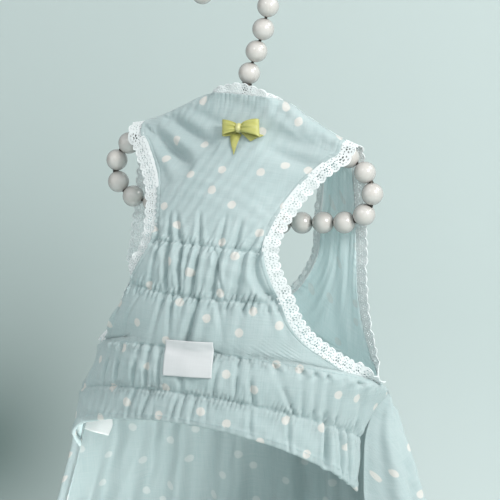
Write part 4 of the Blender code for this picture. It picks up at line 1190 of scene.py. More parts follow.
def lathe_part(name, profile, sides):
    """A small part turned round its Z axis from a profile of (radius, height)."""
    work = bmesh.new()
    rings = []
    for radius, height in profile:
        if radius < 1e-7:
            rings.append([work.verts.new((0.0, 0.0, height))])
        else:
            turns = [2.0 * pi * k / sides for k in range(sides)]
            rings.append([work.verts.new((radius * cos(a), radius * sin(a), height)) for a in turns])
    for low, high in zip(rings[:-1], rings[1:]):
        for k in range(sides):
            ahead = (k + 1) % sides
            if len(low) == 1:
                work.faces.new((low[0], high[ahead], high[k]))
            elif len(high) == 1:
                work.faces.new((low[k], low[ahead], high[0]))
            else:
                work.faces.new((low[k], low[ahead], high[ahead], high[k]))
    mesh = bpy.data.meshes.new(name)
    bmesh.ops.recalc_face_normals(work, faces=work.faces)
    work.to_mesh(mesh)
    work.free()
    mesh.shade_smooth()
    return linked(name, mesh)


def pearl_part():
    """One pearl: a ball with a small drilled dimple at each end."""
    radius = BEAD_D / 2
    turns = np.linspace(8.0, 172.0, 20)
    profile = [(0.0, -radius * 0.90), (radius * 0.09, -radius * 0.93)]
    profile += [(radius * sin(radians(a)), -radius * cos(radians(a))) for a in turns]
    profile += [(radius * 0.09, radius * 0.93), (0.0, radius * 0.90)]
    return lathe_part("pearl_part", profile, 28)


def cap_part():
    """The dark end of wire and crimp that shows between two pearls."""
    profile = [(0.0, -CAP_HALF), (CAP_END_R, -CAP_HALF), (CAP_R, -CAP_HALF / 2),
               (CAP_R, CAP_HALF / 2), (CAP_END_R, CAP_HALF), (0.0, CAP_HALF)]
    return lathe_part("cap_part", profile, 12)


def stem_collar(metal):
    """The metal sleeve at the foot of the stem."""
    foot = BEAD_D * 0.35
    top = foot + COLLAR_LENGTH
    profile = [(0.0, foot), (COLLAR_D * 0.44, foot), (COLLAR_D / 2, foot + 0.0006),
               (COLLAR_D / 2, top - 0.0012), (COLLAR_D * 0.36, top - 0.0002),
               (WIRE_D / 2, top), (0.0, top)]
    collar = lathe_part("stem_collar", profile, 24)
    collar.data.transform(Matrix.Translation(Vector(DRESS_AT)))
    collar.data.materials.append(metal)
    return collar


def build_hanger(pearl, metal):
    hook = hook_route()
    loop_places = loop_bead_places(LOOP)
    hook_whole = line_lengths(hook)[-1]
    hook_first = HOOK_RISE * 0.316
    hook_count = int(round((hook_whole - hook_first) / BEAD_PITCH))
    hook_places = np.linspace(hook_first, hook_whole, hook_count + 1)
    probe = BEAD_D * 0.2
    at_loop = walk(LOOP, loop_places, True)
    along_loop = walk(LOOP, np.array(loop_places) + probe, True) - at_loop
    at_hook = walk(hook, hook_places, False)
    along_hook = at_hook - walk(hook, hook_places - probe, False)
    places = np.vstack([at_loop, at_hook])
    aheads = np.vstack([along_loop, along_hook])
    outs = np.tile([0.0, -1.0, 0.0], (len(places), 1))
    part = pearl_part()
    world = places + np.array(DRESS_AT)
    pearls = on_points("pearls", part, world, aheads, outs, pearl, 1.0, 0.012, 4)
    bpy.data.objects.remove(part, do_unlink=True)
    cap = cap_part()
    lowest = at_hook[:1] - np.array([[0.0, 0.0, 0.0066]])
    middle = np.array([0.0, 0.0, -0.5 * LOOP_DROP])
    turns = np.abs(at_loop[:, 0]) > CRIMPS_FROM * LOOP_HALF_WIDTH
    ahead = np.roll(at_loop, -1, axis=0)
    between = ((at_loop + ahead) / 2.0)[turns]
    outwards = between - middle
    outwards /= np.linalg.norm(outwards, axis=1, keepdims=True)
    crimps = np.vstack([lowest, between + outwards * CRIMP_OUT]) + np.array(DRESS_AT)
    run = np.vstack([[[0.0, 0.0, 1.0]], (ahead - at_loop)[turns]])
    caps = on_points("crimps", cap, crimps, run, np.tile([0.0, -1.0, 0.0], (len(run), 1)), metal, 1.15)
    bpy.data.objects.remove(cap, do_unlink=True)
    loop_whole = line_lengths(np.vstack([LOOP, LOOP[:1]]))[-1]
    steps = np.linspace(0, 1, 160, endpoint=False) * loop_whole
    loop_wire = wire_mesh("loop_wire", walk(LOOP, steps, True), WIRE_D, True, metal)
    hook_wire = wire_mesh("hook_wire", hook, WIRE_D, False, metal)
    return joined("pearl_hanger", [pearls, caps, loop_wire, hook_wire, stem_collar(metal)])


# Bow, label and slip

def envelope(values, lines, columns):
    """The greatest value near each point of a grid, softened."""
    most = values
    for shift in range(1, lines + 1):
        most = np.maximum(most, np.maximum(np.roll(values, shift, axis=0), np.roll(values, -shift, axis=0)))
    wide = most
    for shift in range(1, columns + 1):
        wide = np.maximum(wide, np.maximum(np.roll(most, shift, axis=1), np.roll(most, -shift, axis=1)))
    for turn in range(lines):
        wide = (np.roll(wide, 1, axis=0) + wide * 2 + np.roll(wide, -1, axis=0)) / 4
    for turn in range(columns * 2):
        wide = (np.roll(wide, 1, axis=1) + wide * 2 + np.roll(wide, -1, axis=1)) / 4
    return wide


def read_at(grid, x, z):
    """A point of a chest grid given by its width and height, and the normal there."""
    lines = np.array([[np.interp(x, line[:, 0], line[:, k]) for k in range(grid.shape[2])] for line in grid])
    order = -lines[:, 2]
    return np.array([np.interp(-z, order, lines[:, k]) for k in range(grid.shape[2])])


def chest_skin(chest, base):
    """The surface that the crests of the gathers touch, with its normals, near the middle."""
    lines, columns = base.shape[:2]
    keep = slice(columns // 8, columns - columns // 8)
    normal = grid_normals(base)
    offset = np.sum((chest[:lines] - base) * normal, axis=2)
    skin = base + normal * envelope(offset, 2, 5)[:, :, None]
    return np.concatenate([skin, normal], axis=2)[:, keep]


def laid_sheet(skin, middle, size, tilt_deg, lift, columns, rows):
    """A small sheet laid on the chest panel, with lift given by a function of its shares."""
    turn = radians(tilt_deg)
    grid = np.zeros((rows, columns, 3))
    for row, down in enumerate(np.linspace(0.5, -0.5, rows)):
        for column, across in enumerate(np.linspace(-0.5, 0.5, columns)):
            x = middle[0] + across * size[0] * cos(turn) - down * size[1] * sin(turn)
            z = middle[1] + across * size[0] * sin(turn) + down * size[1] * cos(turn)
            at = read_at(skin, x, z)
            normal = at[3:] / np.linalg.norm(at[3:])
            grid[row, column] = at[:3] + normal * lift(across, down)
    return grid


def bow_axes(skin):
    """The middle of the bow and its across, out and up directions."""
    at = read_at(skin, BOW_X, BOW_Z)
    out = at[3:] / np.linalg.norm(at[3:])
    across = np.array([1.0, 0.0, 0.0])
    across = across - out * across.dot(out)
    across /= np.linalg.norm(across)
    up = np.cross(across, -out)
    tilt = radians(BOW_TILT_DEG)
    tilted = across * cos(tilt) + up * sin(tilt)
    upright = up * cos(tilt) - across * sin(tilt)
    middle = at[:3] + out * (BOW_STAND + BOW_BULGE)
    return middle, tilted, out, upright


def bow_loop(axes, side, length, height, bulge):
    """One loop of ribbon, pinched at the knot and creased out of it."""
    middle, across, out, up = axes
    turns = np.linspace(0.0, 2 * pi, 60, endpoint=False)
    levels = np.linspace(-1.0, 1.0, 21)
    grid = np.zeros((len(levels), len(turns), 3))
    for i, level in enumerate(levels):
        for j, turn in enumerate(turns):
            reach = (1.0 - cos(turn)) / 2
            x = side * (BOW_KNOT_W * 0.36 + reach * length * (1.0 - 0.10 * level * side))
            z = height / 2 * (0.36 + 0.64 * reach ** 0.65) * level
            y = bulge * sin(turn) * (1.0 - 0.30 * level ** 2)
            y += 0.00040 * sin(level * 8.0 + side) * (1.0 - reach) ** 0.5
            y += 0.00018 * sin(level * 15.0 + 2.0 * side) * (1.0 - reach)
            grid[i, j] = middle + across * x + out * y + up * z
    return grid


def bow_tail(skin, angle_deg, length, width, curl):
    """One ribbon end that lies on the chest under the bow, cut on the slant."""
    turn = radians(angle_deg + BOW_TILT_DEG)
    start = width * 0.20
    grid = np.zeros((24, 13, 3))
    for i, along in enumerate(np.linspace(0.0, 1.0, 24)):
        for j, across in enumerate(np.linspace(-0.5, 0.5, 13)):
            reach = start + along * (length + width * (0.35 + across * 0.9))
            off = across * width * (0.45 + 0.55 * along)
            x = BOW_X + reach * cos(turn) - off * sin(turn)
            z = BOW_Z + reach * sin(turn) + off * cos(turn)
            at = read_at(skin, x, z)
            normal = at[3:] / np.linalg.norm(at[3:])
            lift = 0.0005 + curl * sin(pi * along * 0.9) + 0.0003 * cos(across * 7.0) * along
            grid[i, j] = at[:3] + normal * lift
    return grid


def bow_knot(axes, finish):
    """The wrapped middle of the bow: a rounded band with upright creases."""
    middle, across, out, up = axes
    work = bmesh.new()
    bmesh.ops.create_uvsphere(work, u_segments=48, v_segments=28, radius=1.0)
    for vert in work.verts:
        x, y, z = vert.co
        swell = 1.0 + 0.05 * sin(9.0 * x + 1.0) * abs(y)
        x = np.sign(x) * abs(x) ** 0.75 * BOW_KNOT_W / 2
        z = np.sign(z) * abs(z) ** 0.85 * BOW_KNOT_H / 2
        y = np.sign(y) * abs(y) ** 0.85 * (BOW_BULGE + 0.0006) * swell
        vert.co = Vector(middle + across * x + out * y + up * z) + Vector(DRESS_AT)
    bmesh.ops.recalc_face_normals(work, faces=work.faces)
    mesh = bpy.data.meshes.new("bow_knot_wrap")
    work.to_mesh(mesh)
    work.free()
    mesh.materials.append(finish)
    mesh.shade_smooth()
    return linked("bow_knot_wrap", mesh)


def flat_chart(grid, size):
    rows, columns = grid.shape[:2]
    u = np.linspace(-0.5, 0.5, columns)[None, :] * size[0] * np.ones((rows, 1))
    v = np.linspace(0.5, -0.5, rows)[:, None] * size[1] * np.ones((1, columns))
    return np.stack([u, v], axis=2)


def label_lift(across, down):
    """The label is sewn flat along its top and bows off the gathers below."""
    sewn = 0.0004 + 0.0004 * (0.5 - down)
    return sewn + 0.0003 * sin(across * 9.0 + 0.6) * (0.5 - down)


def care_slip(chest):
    """The folded slip sewn into the left side seam, seen inside the hem."""
    seam = chest[:, 0]
    grid = np.zeros((16, 22, 3))
    z_top = -CHEST_LENGTH * CARE_SEAM - CARE_DROP
    order = -seam[-60:, 2]
    for i, down in enumerate(np.linspace(0.0, 1.0, 16)):
        z = z_top - down * CARE_H
        x0 = np.interp(-z, order, seam[-60:, 0]) + 0.0008
        y0 = np.interp(-z, order, seam[-60:, 1]) + 0.0006
        for j, across in enumerate(np.linspace(0.0, 1.0, 22)):
            point = 0.45 * abs(down - 0.55) * 2.0
            reach = across * CARE_W * (1.12 - 0.28 * point * across)
            grid[i, j] = (x0 + reach, y0 + reach * 0.25 + 0.0006 * sin(across * 5.0 + down * 3.0),
                          z - reach * 0.20)
    return grid


# Stitches

def stitch_part(length, diameter):
    """One stitch of thread: a short rounded rod along Z."""
    half, radius = length / 2, diameter / 2
    profile = [(0.0, -half), (radius * 0.7, -half * 0.93), (radius, -half * 0.7),
               (radius, half * 0.7), (radius * 0.7, half * 0.93), (0.0, half)]
    return lathe_part("stitch_part", profile, 6)


def stitch_line(points, normals, pitch, lift):
    """Places, directions and tops of stitches along a line of points."""
    along = line_lengths(points)
    at = np.arange(pitch * 0.5, along[-1], pitch)
    place = np.stack([np.interp(at, along, points[:, k]) for k in range(3)], axis=1)
    ahead = np.stack([np.interp(at + pitch * 0.25, along, points[:, k]) for k in range(3)], axis=1)
    normal = np.stack([np.interp(at, along, normals[:, k]) for k in range(3)], axis=1)
    return place + normal * lift + np.array(DRESS_AT), ahead - place, normal


# Materials

def srgb(red, green, blue):
    """A linear colour from screen values of 0 to 255."""
    shares = [value / 255.0 for value in (red, green, blue)]
    return tuple(s / 12.92 if s <= 0.04045 else ((s + 0.055) / 1.055) ** 2.4 for s in shares)


def new_material(name, colour, roughness):
    """A material whose only shader is a Principled BSDF, its nodes and that shader."""
    material = bpy.data.materials.new(name)
    material.use_nodes = True
    material.diffuse_color = (*colour, 1.0)
    shader = material.node_tree.nodes["Principled BSDF"]
    shader.inputs["Base Color"].default_value = (*colour, 1.0)
    shader.inputs["Roughness"].default_value = roughness
    return material, material.node_tree, shader


def set_inputs(shader, values):
    for name, value in values.items():
        shader.inputs[name].default_value = value


def maths(tree, operation, first, second=None, clamp=False):
    values = {0: first} if second is None else {0: first, 1: second}
    return add_node(tree, "ShaderNodeMath", values, operation=operation, use_clamp=clamp).outputs[0]


def mixed(tree, share, first, second):
    """A colour between two, by a share."""
    node = tree.nodes.new("ShaderNodeMix")
    node.data_type = "RGBA"
    for socket, source in ((node.inputs[0], share), (node.inputs[6], first), (node.inputs[7], second)):
        if isinstance(source, bpy.types.NodeSocket):
            tree.links.new(source, socket)
        else:
            socket.default_value = source if isinstance(source, float) else (*source, 1.0)
    return node.outputs[2]


def weave_group():
    """Threads of a plain weave: their height, uneven thickness and gaps."""
    tree = bpy.data.node_groups.new("weave", "ShaderNodeTree")
    add_input(tree, "Vector", "Vector")
    add_input(tree, "Pitch", "Float", 0.0005)
    add_input(tree, "Slub", "Float", 0.5)
    for name in ("Height", "Tone"):
        tree.interface.new_socket(name=name, in_out="OUTPUT", socket_type="NodeSocketFloat")
    given = add_node(tree, "NodeGroupInput")
    rate = maths(tree, "DIVIDE", pi, given.outputs["Pitch"])
    parts = add_node(tree, "ShaderNodeSeparateXYZ", {0: given.outputs["Vector"]})
    warp = maths(tree, "SINE", maths(tree, "MULTIPLY", parts.outputs[0], rate))
    weft = maths(tree, "SINE", maths(tree, "MULTIPLY", parts.outputs[1], rate))
    over = maths(tree, "ABSOLUTE", maths(tree, "MULTIPLY", warp, weft))
    slubs = []
    for stretch in ((1400.0, 60.0, 1.0), (60.0, 1400.0, 1.0)):
        scaled = add_node(tree, "ShaderNodeVectorMath", {0: given.outputs["Vector"], 1: stretch},
                          operation="MULTIPLY")
        slubs.append(add_node(tree, "ShaderNodeTexNoise",
                              {"Vector": scaled.outputs[0], "Scale": 1.0, "Detail": 2.0},
                              noise_dimensions="3D").outputs[0])
    slub = maths(tree, "SUBTRACT", maths(tree, "ADD", slubs[0], slubs[1]), 1.0)
    tone = maths(tree, "MULTIPLY", slub, given.outputs["Slub"])
    height = maths(tree, "ADD", maths(tree, "MULTIPLY", over, 0.5), tone)
    result = add_node(tree, "NodeGroupOutput")
    tree.links.new(height, result.inputs["Height"])
    tree.links.new(tone, result.inputs["Tone"])
    return tree


def weave_on(tree, pitch, slub, vector):
    return add_node(tree, "ShaderNodeGroup", {"Vector": vector, "Pitch": pitch, "Slub": slub},
                    node_tree=SHADERS["weave"])


def raise_bump(tree, shader, height, distance, strength):
    bump = add_node(tree, "ShaderNodeBump", {"Height": height, "Distance": distance, "Strength": strength})
    tree.links.new(bump.outputs[0], shader.inputs["Normal"])


def dot_mask(tree, place):
    """Soft-edged round dots, scattered about a slanting net, as a mask."""
    wobble = add_node(tree, "ShaderNodeTexNoise", {"Vector": place, "Scale": 420.0, "Detail": 1.0})
    shift = add_node(tree, "ShaderNodeVectorMath", {0: wobble.outputs["Color"], 1: (0.5, 0.5, 0.5)},
                     operation="SUBTRACT")
    small = add_node(tree, "ShaderNodeVectorMath", {0: shift.outputs[0], "Scale": 0.0007}, operation="SCALE")
    moved = add_node(tree, "ShaderNodeVectorMath", {0: place, 1: small.outputs[0]}, operation="ADD")
    turned = add_node(tree, "ShaderNodeMapping",
                      {"Vector": moved.outputs[0], "Rotation": (0.0, 0.0, 0.42), "Location": DOT_SHIFT})
    net = add_node(tree, "ShaderNodeTexVoronoi",
                   {"Vector": turned.outputs[0], "Scale": 1.0 / DOT_SPACING, "Randomness": 0.55},
                   voronoi_dimensions="2D")
    radius = DOT_D / 2 / DOT_SPACING
    edge = add_node(tree, "ShaderNodeMapRange",
                    {"Value": net.outputs["Distance"], "From Min": radius * 1.16, "From Max": radius * 0.84},
                    interpolation_type="SMOOTHSTEP")
    return edge.outputs[0]


def cotton_material(name, dot_cover, tone=1.0):
    """Thin washed cotton with a printed dot, which shows faintly on its reverse; tone makes lighter copies
    with painted light and darker copies with painted shade.
    """
    material, tree, shader = new_material(name, COTTON, 0.88)
    place = add_node(tree, "ShaderNodeUVMap", uv_map="cloth").outputs[0]
    weave = weave_on(tree, 0.00042, 0.9, place)
    cloud = add_node(tree, "ShaderNodeTexNoise", {"Vector": place, "Scale": 38.0, "Detail": 2.0}).outputs[0]
    # tone above 1 gives a copy with painted light, below 1 a copy with painted shade
    deep, pale, low, high = (tuple(part * tone for part in colour[:3])
                             for colour in (COTTON_DEEP, COTTON_PALE, COTTON_LOW, COTTON_HIGH))
    paler = mixed(tree, cloud, deep, pale)
    threads = maths(tree, "ADD", 0.5, weave.outputs["Tone"], clamp=True)
    cloth = mixed(tree, threads, low, high)
    both = mixed(tree, 0.5, paler, cloth)
    mask = maths(tree, "MULTIPLY", dot_mask(tree, place), dot_cover)
    both = mixed(tree, mask, both, DOT_COLOUR)
    tree.links.new(both, shader.inputs["Base Color"])
    set_inputs(shader, {"Sheen Weight": 0.18, "Sheen Roughness": 0.45, "Specular IOR Level": 0.25,
                        "Subsurface Weight": CLOTH_GLOW, "Subsurface Scale": 1.0,
                        "Subsurface Radius": (0.0022, 0.0026, 0.0026)})
    raise_bump(tree, shader, weave.outputs["Height"], 0.00015, 0.8)
    return material


def lace_material():
    """White cotton lace: a fine net between the holes and raised worked edges."""
    material, tree, shader = new_material("lace_cotton", LACE_WHITE, 0.9)
    place = add_node(tree, "ShaderNodeUVMap", uv_map="cloth").outputs[0]
    net = add_node(tree, "ShaderNodeTexVoronoi", {"Vector": place, "Scale": 1500.0, "Randomness": 0.35},
                   voronoi_dimensions="2D", feature="DISTANCE_TO_EDGE")
    thread = add_node(tree, "ShaderNodeMapRange",
                      {"Value": net.outputs["Distance"], "From Min": 0.04, "From Max": 0.22},
                      interpolation_type="SMOOTHSTEP").outputs[0]
    tone = mixed(tree, thread, LACE_WHITE, LACE_SHADE)
    tree.links.new(tone, shader.inputs["Base Color"])
    weave = weave_on(tree, 0.0003, 0.6, place)
    height = maths(tree, "ADD", maths(tree, "MULTIPLY", thread, -0.8), weave.outputs["Height"])
    raise_bump(tree, shader, height, 0.00016, 0.7)
    set_inputs(shader, {"Sheen Weight": 0.2, "Specular IOR Level": 0.2, "Subsurface Weight": 0.1,
                        "Subsurface Scale": 1.0, "Subsurface Radius": (0.002, 0.002, 0.002)})
    return material


def pearl_material():
    """Glossy coated pearl, a little cloudy in tone, with painted shade darker towards its rim."""
    material, tree, shader = new_material("pearl_coat", PEARL, 0.24)
    rim = add_node(tree, "ShaderNodeLayerWeight", {"Blend": 0.35}).outputs["Facing"]
    place = add_node(tree, "ShaderNodeTexCoord").outputs["Object"]
    cloud = add_node(tree, "ShaderNodeTexNoise", {"Vector": place, "Scale": 260.0, "Detail": 2.0}).outputs[0]
    body = mixed(tree, cloud, PEARL, PEARL_WARM)
    # painted shade: Layer Weight darkens the base colour towards the pearl's rim
    tree.links.new(mixed(tree, rim, body, PEARL_RIM_SHADE), shader.inputs["Base Color"])
    rough = add_node(tree, "ShaderNodeMapRange", {"Value": cloud, "To Min": 0.20, "To Max": 0.30}).outputs[0]
    tree.links.new(rough, shader.inputs["Roughness"])
    set_inputs(shader, {"Coat Weight": 1.0, "Coat Roughness": 0.06, "Specular IOR Level": 0.6})
    return material


def metal_material():
    """Dark bronze wire, a little worn."""
    material, tree, shader = new_material("dark_wire", (0.035, 0.032, 0.03), 0.4)
    place = add_node(tree, "ShaderNodeTexCoord").outputs["Object"]
    cloud = add_node(tree, "ShaderNodeTexNoise", {"Vector": place, "Scale": 700.0, "Detail": 3.0}).outputs[0]
    tree.links.new(mixed(tree, cloud, (0.02, 0.018, 0.016), (0.09, 0.08, 0.07)), shader.inputs["Base Color"])
    rough = add_node(tree, "ShaderNodeMapRange", {"Value": cloud, "To Min": 0.3, "To Max": 0.55}).outputs[0]
    tree.links.new(rough, shader.inputs["Roughness"])
    shader.inputs["Metallic"].default_value = 0.9
    return material


def satin_material(name, deep, pale):
    """Yellow-green satin ribbon with a close rib across it."""
    material, tree, shader = new_material(name, deep, 0.36)
    place = add_node(tree, "ShaderNodeUVMap", uv_map="cloth").outputs[0]
    weave = weave_on(tree, 0.00022, 0.7, place)
    cloud = add_node(tree, "ShaderNodeTexNoise", {"Vector": place, "Scale": 330.0, "Detail": 2.0}).outputs[0]
    threads = maths(tree, "ADD", cloud, maths(tree, "MULTIPLY", weave.outputs["Tone"], 0.6), clamp=True)
    tree.links.new(mixed(tree, threads, deep, pale), shader.inputs["Base Color"])
    set_inputs(shader, {"Anisotropic": 0.55, "Sheen Weight": 0.35, "Sheen Roughness": 0.3,
                        "Specular IOR Level": 0.7})
    raise_bump(tree, shader, weave.outputs["Height"], 0.00008, 0.5)
    return material


def tape_material(name, colour):
    """Smooth woven label tape."""
    material, tree, shader = new_material(name, colour, 0.72)
    place = add_node(tree, "ShaderNodeUVMap", uv_map="cloth").outputs[0]
    weave = weave_on(tree, 0.00028, 0.5, place)
    threads = maths(tree, "ADD", 0.5, weave.outputs["Tone"], clamp=True)
    darker = tuple(value * 0.88 for value in colour)
    tree.links.new(mixed(tree, threads, darker, colour), shader.inputs["Base Color"])
    set_inputs(shader, {"Subsurface Weight": 0.15, "Subsurface Scale": 1.0,
                        "Subsurface Radius": (0.001, 0.001, 0.001)})
    raise_bump(tree, shader, weave.outputs["Height"], 0.00006, 0.5)
    return material


def thread_material():
    """Sewing thread with its twist."""
    material, tree, shader = new_material("sewing_thread", THREAD, 0.7)
    place = add_node(tree, "ShaderNodeTexCoord").outputs["Object"]
    twist = add_node(tree, "ShaderNodeTexWave", {"Vector": place, "Scale": 900.0, "Distortion": 1.0},
                     bands_direction="DIAGONAL")
    tree.links.new(mixed(tree, twist.outputs["Fac"], tuple(v * 0.8 for v in THREAD), THREAD),
                   shader.inputs["Base Color"])
    raise_bump(tree, shader, twist.outputs["Fac"], 0.00005, 0.5)
    return material


# Stage, lights and camera

def wall_material():
    """Matt paint, with painted shade darker towards one low corner."""
    material, tree, shader = new_material("backdrop_paint", WALL_PALE, 0.95)
    place = add_node(tree, "ShaderNodeTexCoord").outputs["Object"]
    away = add_node(tree, "ShaderNodeVectorMath", {0: place, 1: WALL_SHADE_CORNER},
                    operation="DISTANCE").outputs["Value"]
    fade = maths(tree, "POWER", 0.5, maths(tree, "DIVIDE", away, WALL_SHADE_FADE))
    # painted shade: the paint darkens with nearness to the low corner
    tree.links.new(mixed(tree, fade, WALL_PALE, WALL_PAINTED_SHADE), shader.inputs["Base Color"])
    shader.inputs["Specular IOR Level"].default_value = 0.1
    return material


def build_stage():
    """A plain wall that runs down in a sweep to a plain pale floor."""
    turns = [radians(a) for a in range(0, 91, 6)]
    profile = [(WALL_Y, 1.6)]
    profile += [(WALL_Y - SWEEP * (1.0 - cos(a)), FLOOR_Z + SWEEP * (1.0 - sin(a))) for a in turns]
    profile.append((-2.4, FLOOR_Z))
    verts = []
    for x in (-2.6, 2.6):
        verts += [(x, y, z) for y, z in profile]
    count = len(profile)
    faces = [(k, k + 1, count + k + 1, count + k) for k in range(count - 1)]
    mesh = bpy.data.meshes.new("backdrop")
    mesh.from_pydata(verts, [], faces)
    mesh.materials.append(wall_material())
    mesh.shade_smooth()
    linked("backdrop", mesh)


def view_axes():
    azimuth = radians(CAMERA_AZ)
    height = radians(CAMERA_EL)
    back = np.array([sin(azimuth) * cos(height), -cos(azimuth) * cos(height), sin(height)])
    right = np.cross(-back, np.array([0.0, 0.0, 1.0]))
    right /= np.linalg.norm(right)
    up = np.cross(right, -back)
    roll = radians(CAMERA_ROLL)
    return cos(roll) * right + sin(roll) * up, -sin(roll) * right + cos(roll) * up, back


def place_camera():
    right, up, back = view_axes()
    lens = bpy.data.cameras.new("camera")
    lens.lens = CAMERA_LENS
    lens.sensor_width = 36.0
    lens.clip_start = 0.01
    camera = bpy.data.objects.new("camera", lens)
    bpy.context.scene.collection.objects.link(camera)
    turn = Matrix((right, up, back)).transposed().to_4x4()
    camera.matrix_world = Matrix.Translation(np.array(CAMERA_AIM) + back * CAMERA_DISTANCE) @ turn
    bpy.context.scene.camera = camera


def add_light(name, place, aim, size, watts, colour):
    light = bpy.data.lights.new(name, "AREA")
    light.shape = "RECTANGLE"
    light.size, light.size_y = size
    light.energy = watts
    light.color = colour
    item = bpy.data.objects.new(name, light)
    bpy.context.scene.collection.objects.link(item)
    item.location = place
    item.rotation_euler = (Vector(place) - Vector(aim)).to_track_quat("Z", "Y").to_euler()


def light_scene():
    aim = (0.01, 0.0, -0.17)
    add_light("key", (1.00, -0.52, 0.52), aim, (0.30, 0.36), 11.0, (1.0, 0.985, 0.96))
    add_light("fill", (-0.9, -1.1, 0.1), aim, (1.0, 1.0), 2.0, (0.93, 0.98, 1.0))
    add_light("low_front", (-0.03, -0.07, -0.36), (-0.10, 0.02, -0.27), (0.05, 0.05), 0.07, (1.0, 1.0, 0.98))
    bpy.data.objects["low_front"].visible_camera = False
    bpy.data.lights["low_front"].spread = radians(95.0)
    add_light("glint", (-0.10, -1.0, 0.62), aim, (0.06, 0.06), 1.3, (1.0, 1.0, 1.0))
    add_light("wall_wash", (0.9, 0.25, 0.75), (0.2, 0.62, -0.1), (0.5, 0.5), 4.0, (1.0, 1.0, 0.98))
    world = bpy.data.worlds.new("soft_room")
    world.use_nodes = True
    bpy.context.scene.world = world
    tree = world.node_tree
    place = add_node(tree, "ShaderNodeTexCoord").outputs["Generated"]
    parts = add_node(tree, "ShaderNodeSeparateXYZ", {0: place})
    lean = maths(tree, "ADD", parts.outputs[2], maths(tree, "MULTIPLY", parts.outputs[0], 0.55))
    share = add_node(tree, "ShaderNodeMapRange", {"Value": lean, "From Min": -0.85, "From Max": 0.45},
                     interpolation_type="SMOOTHSTEP").outputs[0]
    sky = mixed(tree, share, ROOM_LOW, ROOM_HIGH)
    tree.links.new(sky, tree.nodes["Background"].inputs["Color"])
    tree.nodes["Background"].inputs["Strength"].default_value = ROOM_STRENGTH
    bpy.context.scene.view_settings.view_transform = "Standard"


COTTON = srgb(173, 189, 190)
COTTON_DEEP = srgb(164, 183, 184)
COTTON_PALE = srgb(185, 198, 199)
COTTON_LOW = srgb(155, 177, 179)
COTTON_HIGH = srgb(192, 202, 203)
DOT_COLOUR = srgb(214, 211, 206)
DOT_COVER = 0.85
DOT_COVER_REVERSE = 0.32
REVERSE_LIGHT_TONE = 1.65
INSIDE_SHADE_TONE = 0.76
DOT_SPACING = 0.0192
DOT_D = 0.0046
DOT_SHIFT = (0.004, 0.002, 0.0)
CLOTH_GLOW = 0.12
LACE_WHITE = srgb(240, 241, 242)
LACE_SHADE = srgb(222, 227, 228)
PEARL = srgb(210, 208, 206)
PEARL_WARM = srgb(201, 195, 188)
PEARL_RIM_SHADE = srgb(124, 121, 119)
SATIN = srgb(162, 163, 80)
SATIN_PALE_AND_KNOT_HIGHLIGHT = srgb(190, 188, 112)
SATIN_HIGHLIGHT_CREAM = srgb(208, 204, 156)
TAPE = srgb(218, 220, 222)
SLIP = srgb(205, 207, 207)
THREAD = srgb(180, 201, 203)
WALL_PALE = srgb(209, 220, 219)
WALL_PAINTED_SHADE = srgb(72, 94, 90)
WALL_SHADE_CORNER = (-0.48, 0.60, -0.44)
WALL_SHADE_FADE = 0.10
ROOM_LOW = (0.24, 0.21, 0.19)
ROOM_HIGH = (0.95, 1.0, 1.0)
ROOM_STRENGTH = 0.75
WALL_Y = 0.62
SWEEP = 0.35
FLOOR_Z = -0.62
CAMERA_AZ = 24.0
CAMERA_EL = 8.0
CAMERA_ROLL = 3.5
CAMERA_DISTANCE = 1.3
CAMERA_AIM = (0.0174, 0.0, -0.1457)
CAMERA_LENS = 175.6


# The pieces


def dress_up(piece, slot, *nodes):
    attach(piece, "root")
    if nodes:
        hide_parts(*nodes)


def build_stitches(chest, down, rows_at, finish):
    """The stitches along the four rows and the hem of the chest panel."""
    normals = grid_normals(chest)
    rows = []
    for seam in [rows_at[name] for name in ROW_NAMES] + [down[-1] - HEM_DEPTH * 0.85]:
        line = int(np.argmin(np.abs(down - seam)))
        rows.append(stitch_line(chest[line], normals[line], STITCH_PITCH, STITCH_LIFT))
    places, aheads, outs = (np.vstack(parts) for parts in zip(*rows))
    rod = stitch_part(STITCH_PITCH * STITCH_SHARE, STITCH_T)
    stitches = on_points("row_stitches", rod, places, aheads, outs, finish, 1.0, 0.12, 6)
    bpy.data.objects.remove(rod, do_unlink=True)
    return stitches


def build_cloth(finishes):
    """Chest, back, skirt and the chest's stitches."""
    chest, base, down, rows_at = chest_surface()
    sewn = int(np.argmin(np.abs(down - rows_at["elastic_3"])))
    chest_piece = grid_piece("chest_cloth", chest, rolled_chart(print_chart(base), chest),
                             finishes["cotton"], CLOTH_T, reverse=finishes["reverse"])
    back, right_under, left_under = back_base()
    back_cloth = back_surface(back)
    back_chart = grid_chart(back) + np.array([0.31, 0.07])
    # the back's inside gets the brighter reverse copy: painted light
    back_piece = grid_piece("back_cloth", back_cloth, back_chart,
                            finishes["reverse"], CLOTH_T, reverse=finishes["cotton"])
    skirt, skirt_smooth = skirt_surface(base, sewn)
    skirt_print = rolled_chart(grid_chart(skirt_smooth), skirt) + np.array([0.13, -0.29])
    # the skirt's inside gets the darker copy: painted shade
    skirt_piece = grid_piece("skirt_cloth", skirt, skirt_print,
                             finishes["shaded"], CLOTH_T, reverse=finishes["cotton"])
    stitches = build_stitches(chest, down, rows_at, finishes["thread"])
    dress_up(chest_piece, "cotton", "chest_panel")
    dress_up(back_piece, "cotton", "back_yoke")
    dress_up(skirt_piece, "cotton", "skirt")
    dress_up(stitches, "cotton")
    return chest_piece, stitches, chest, base, sewn, back, right_under


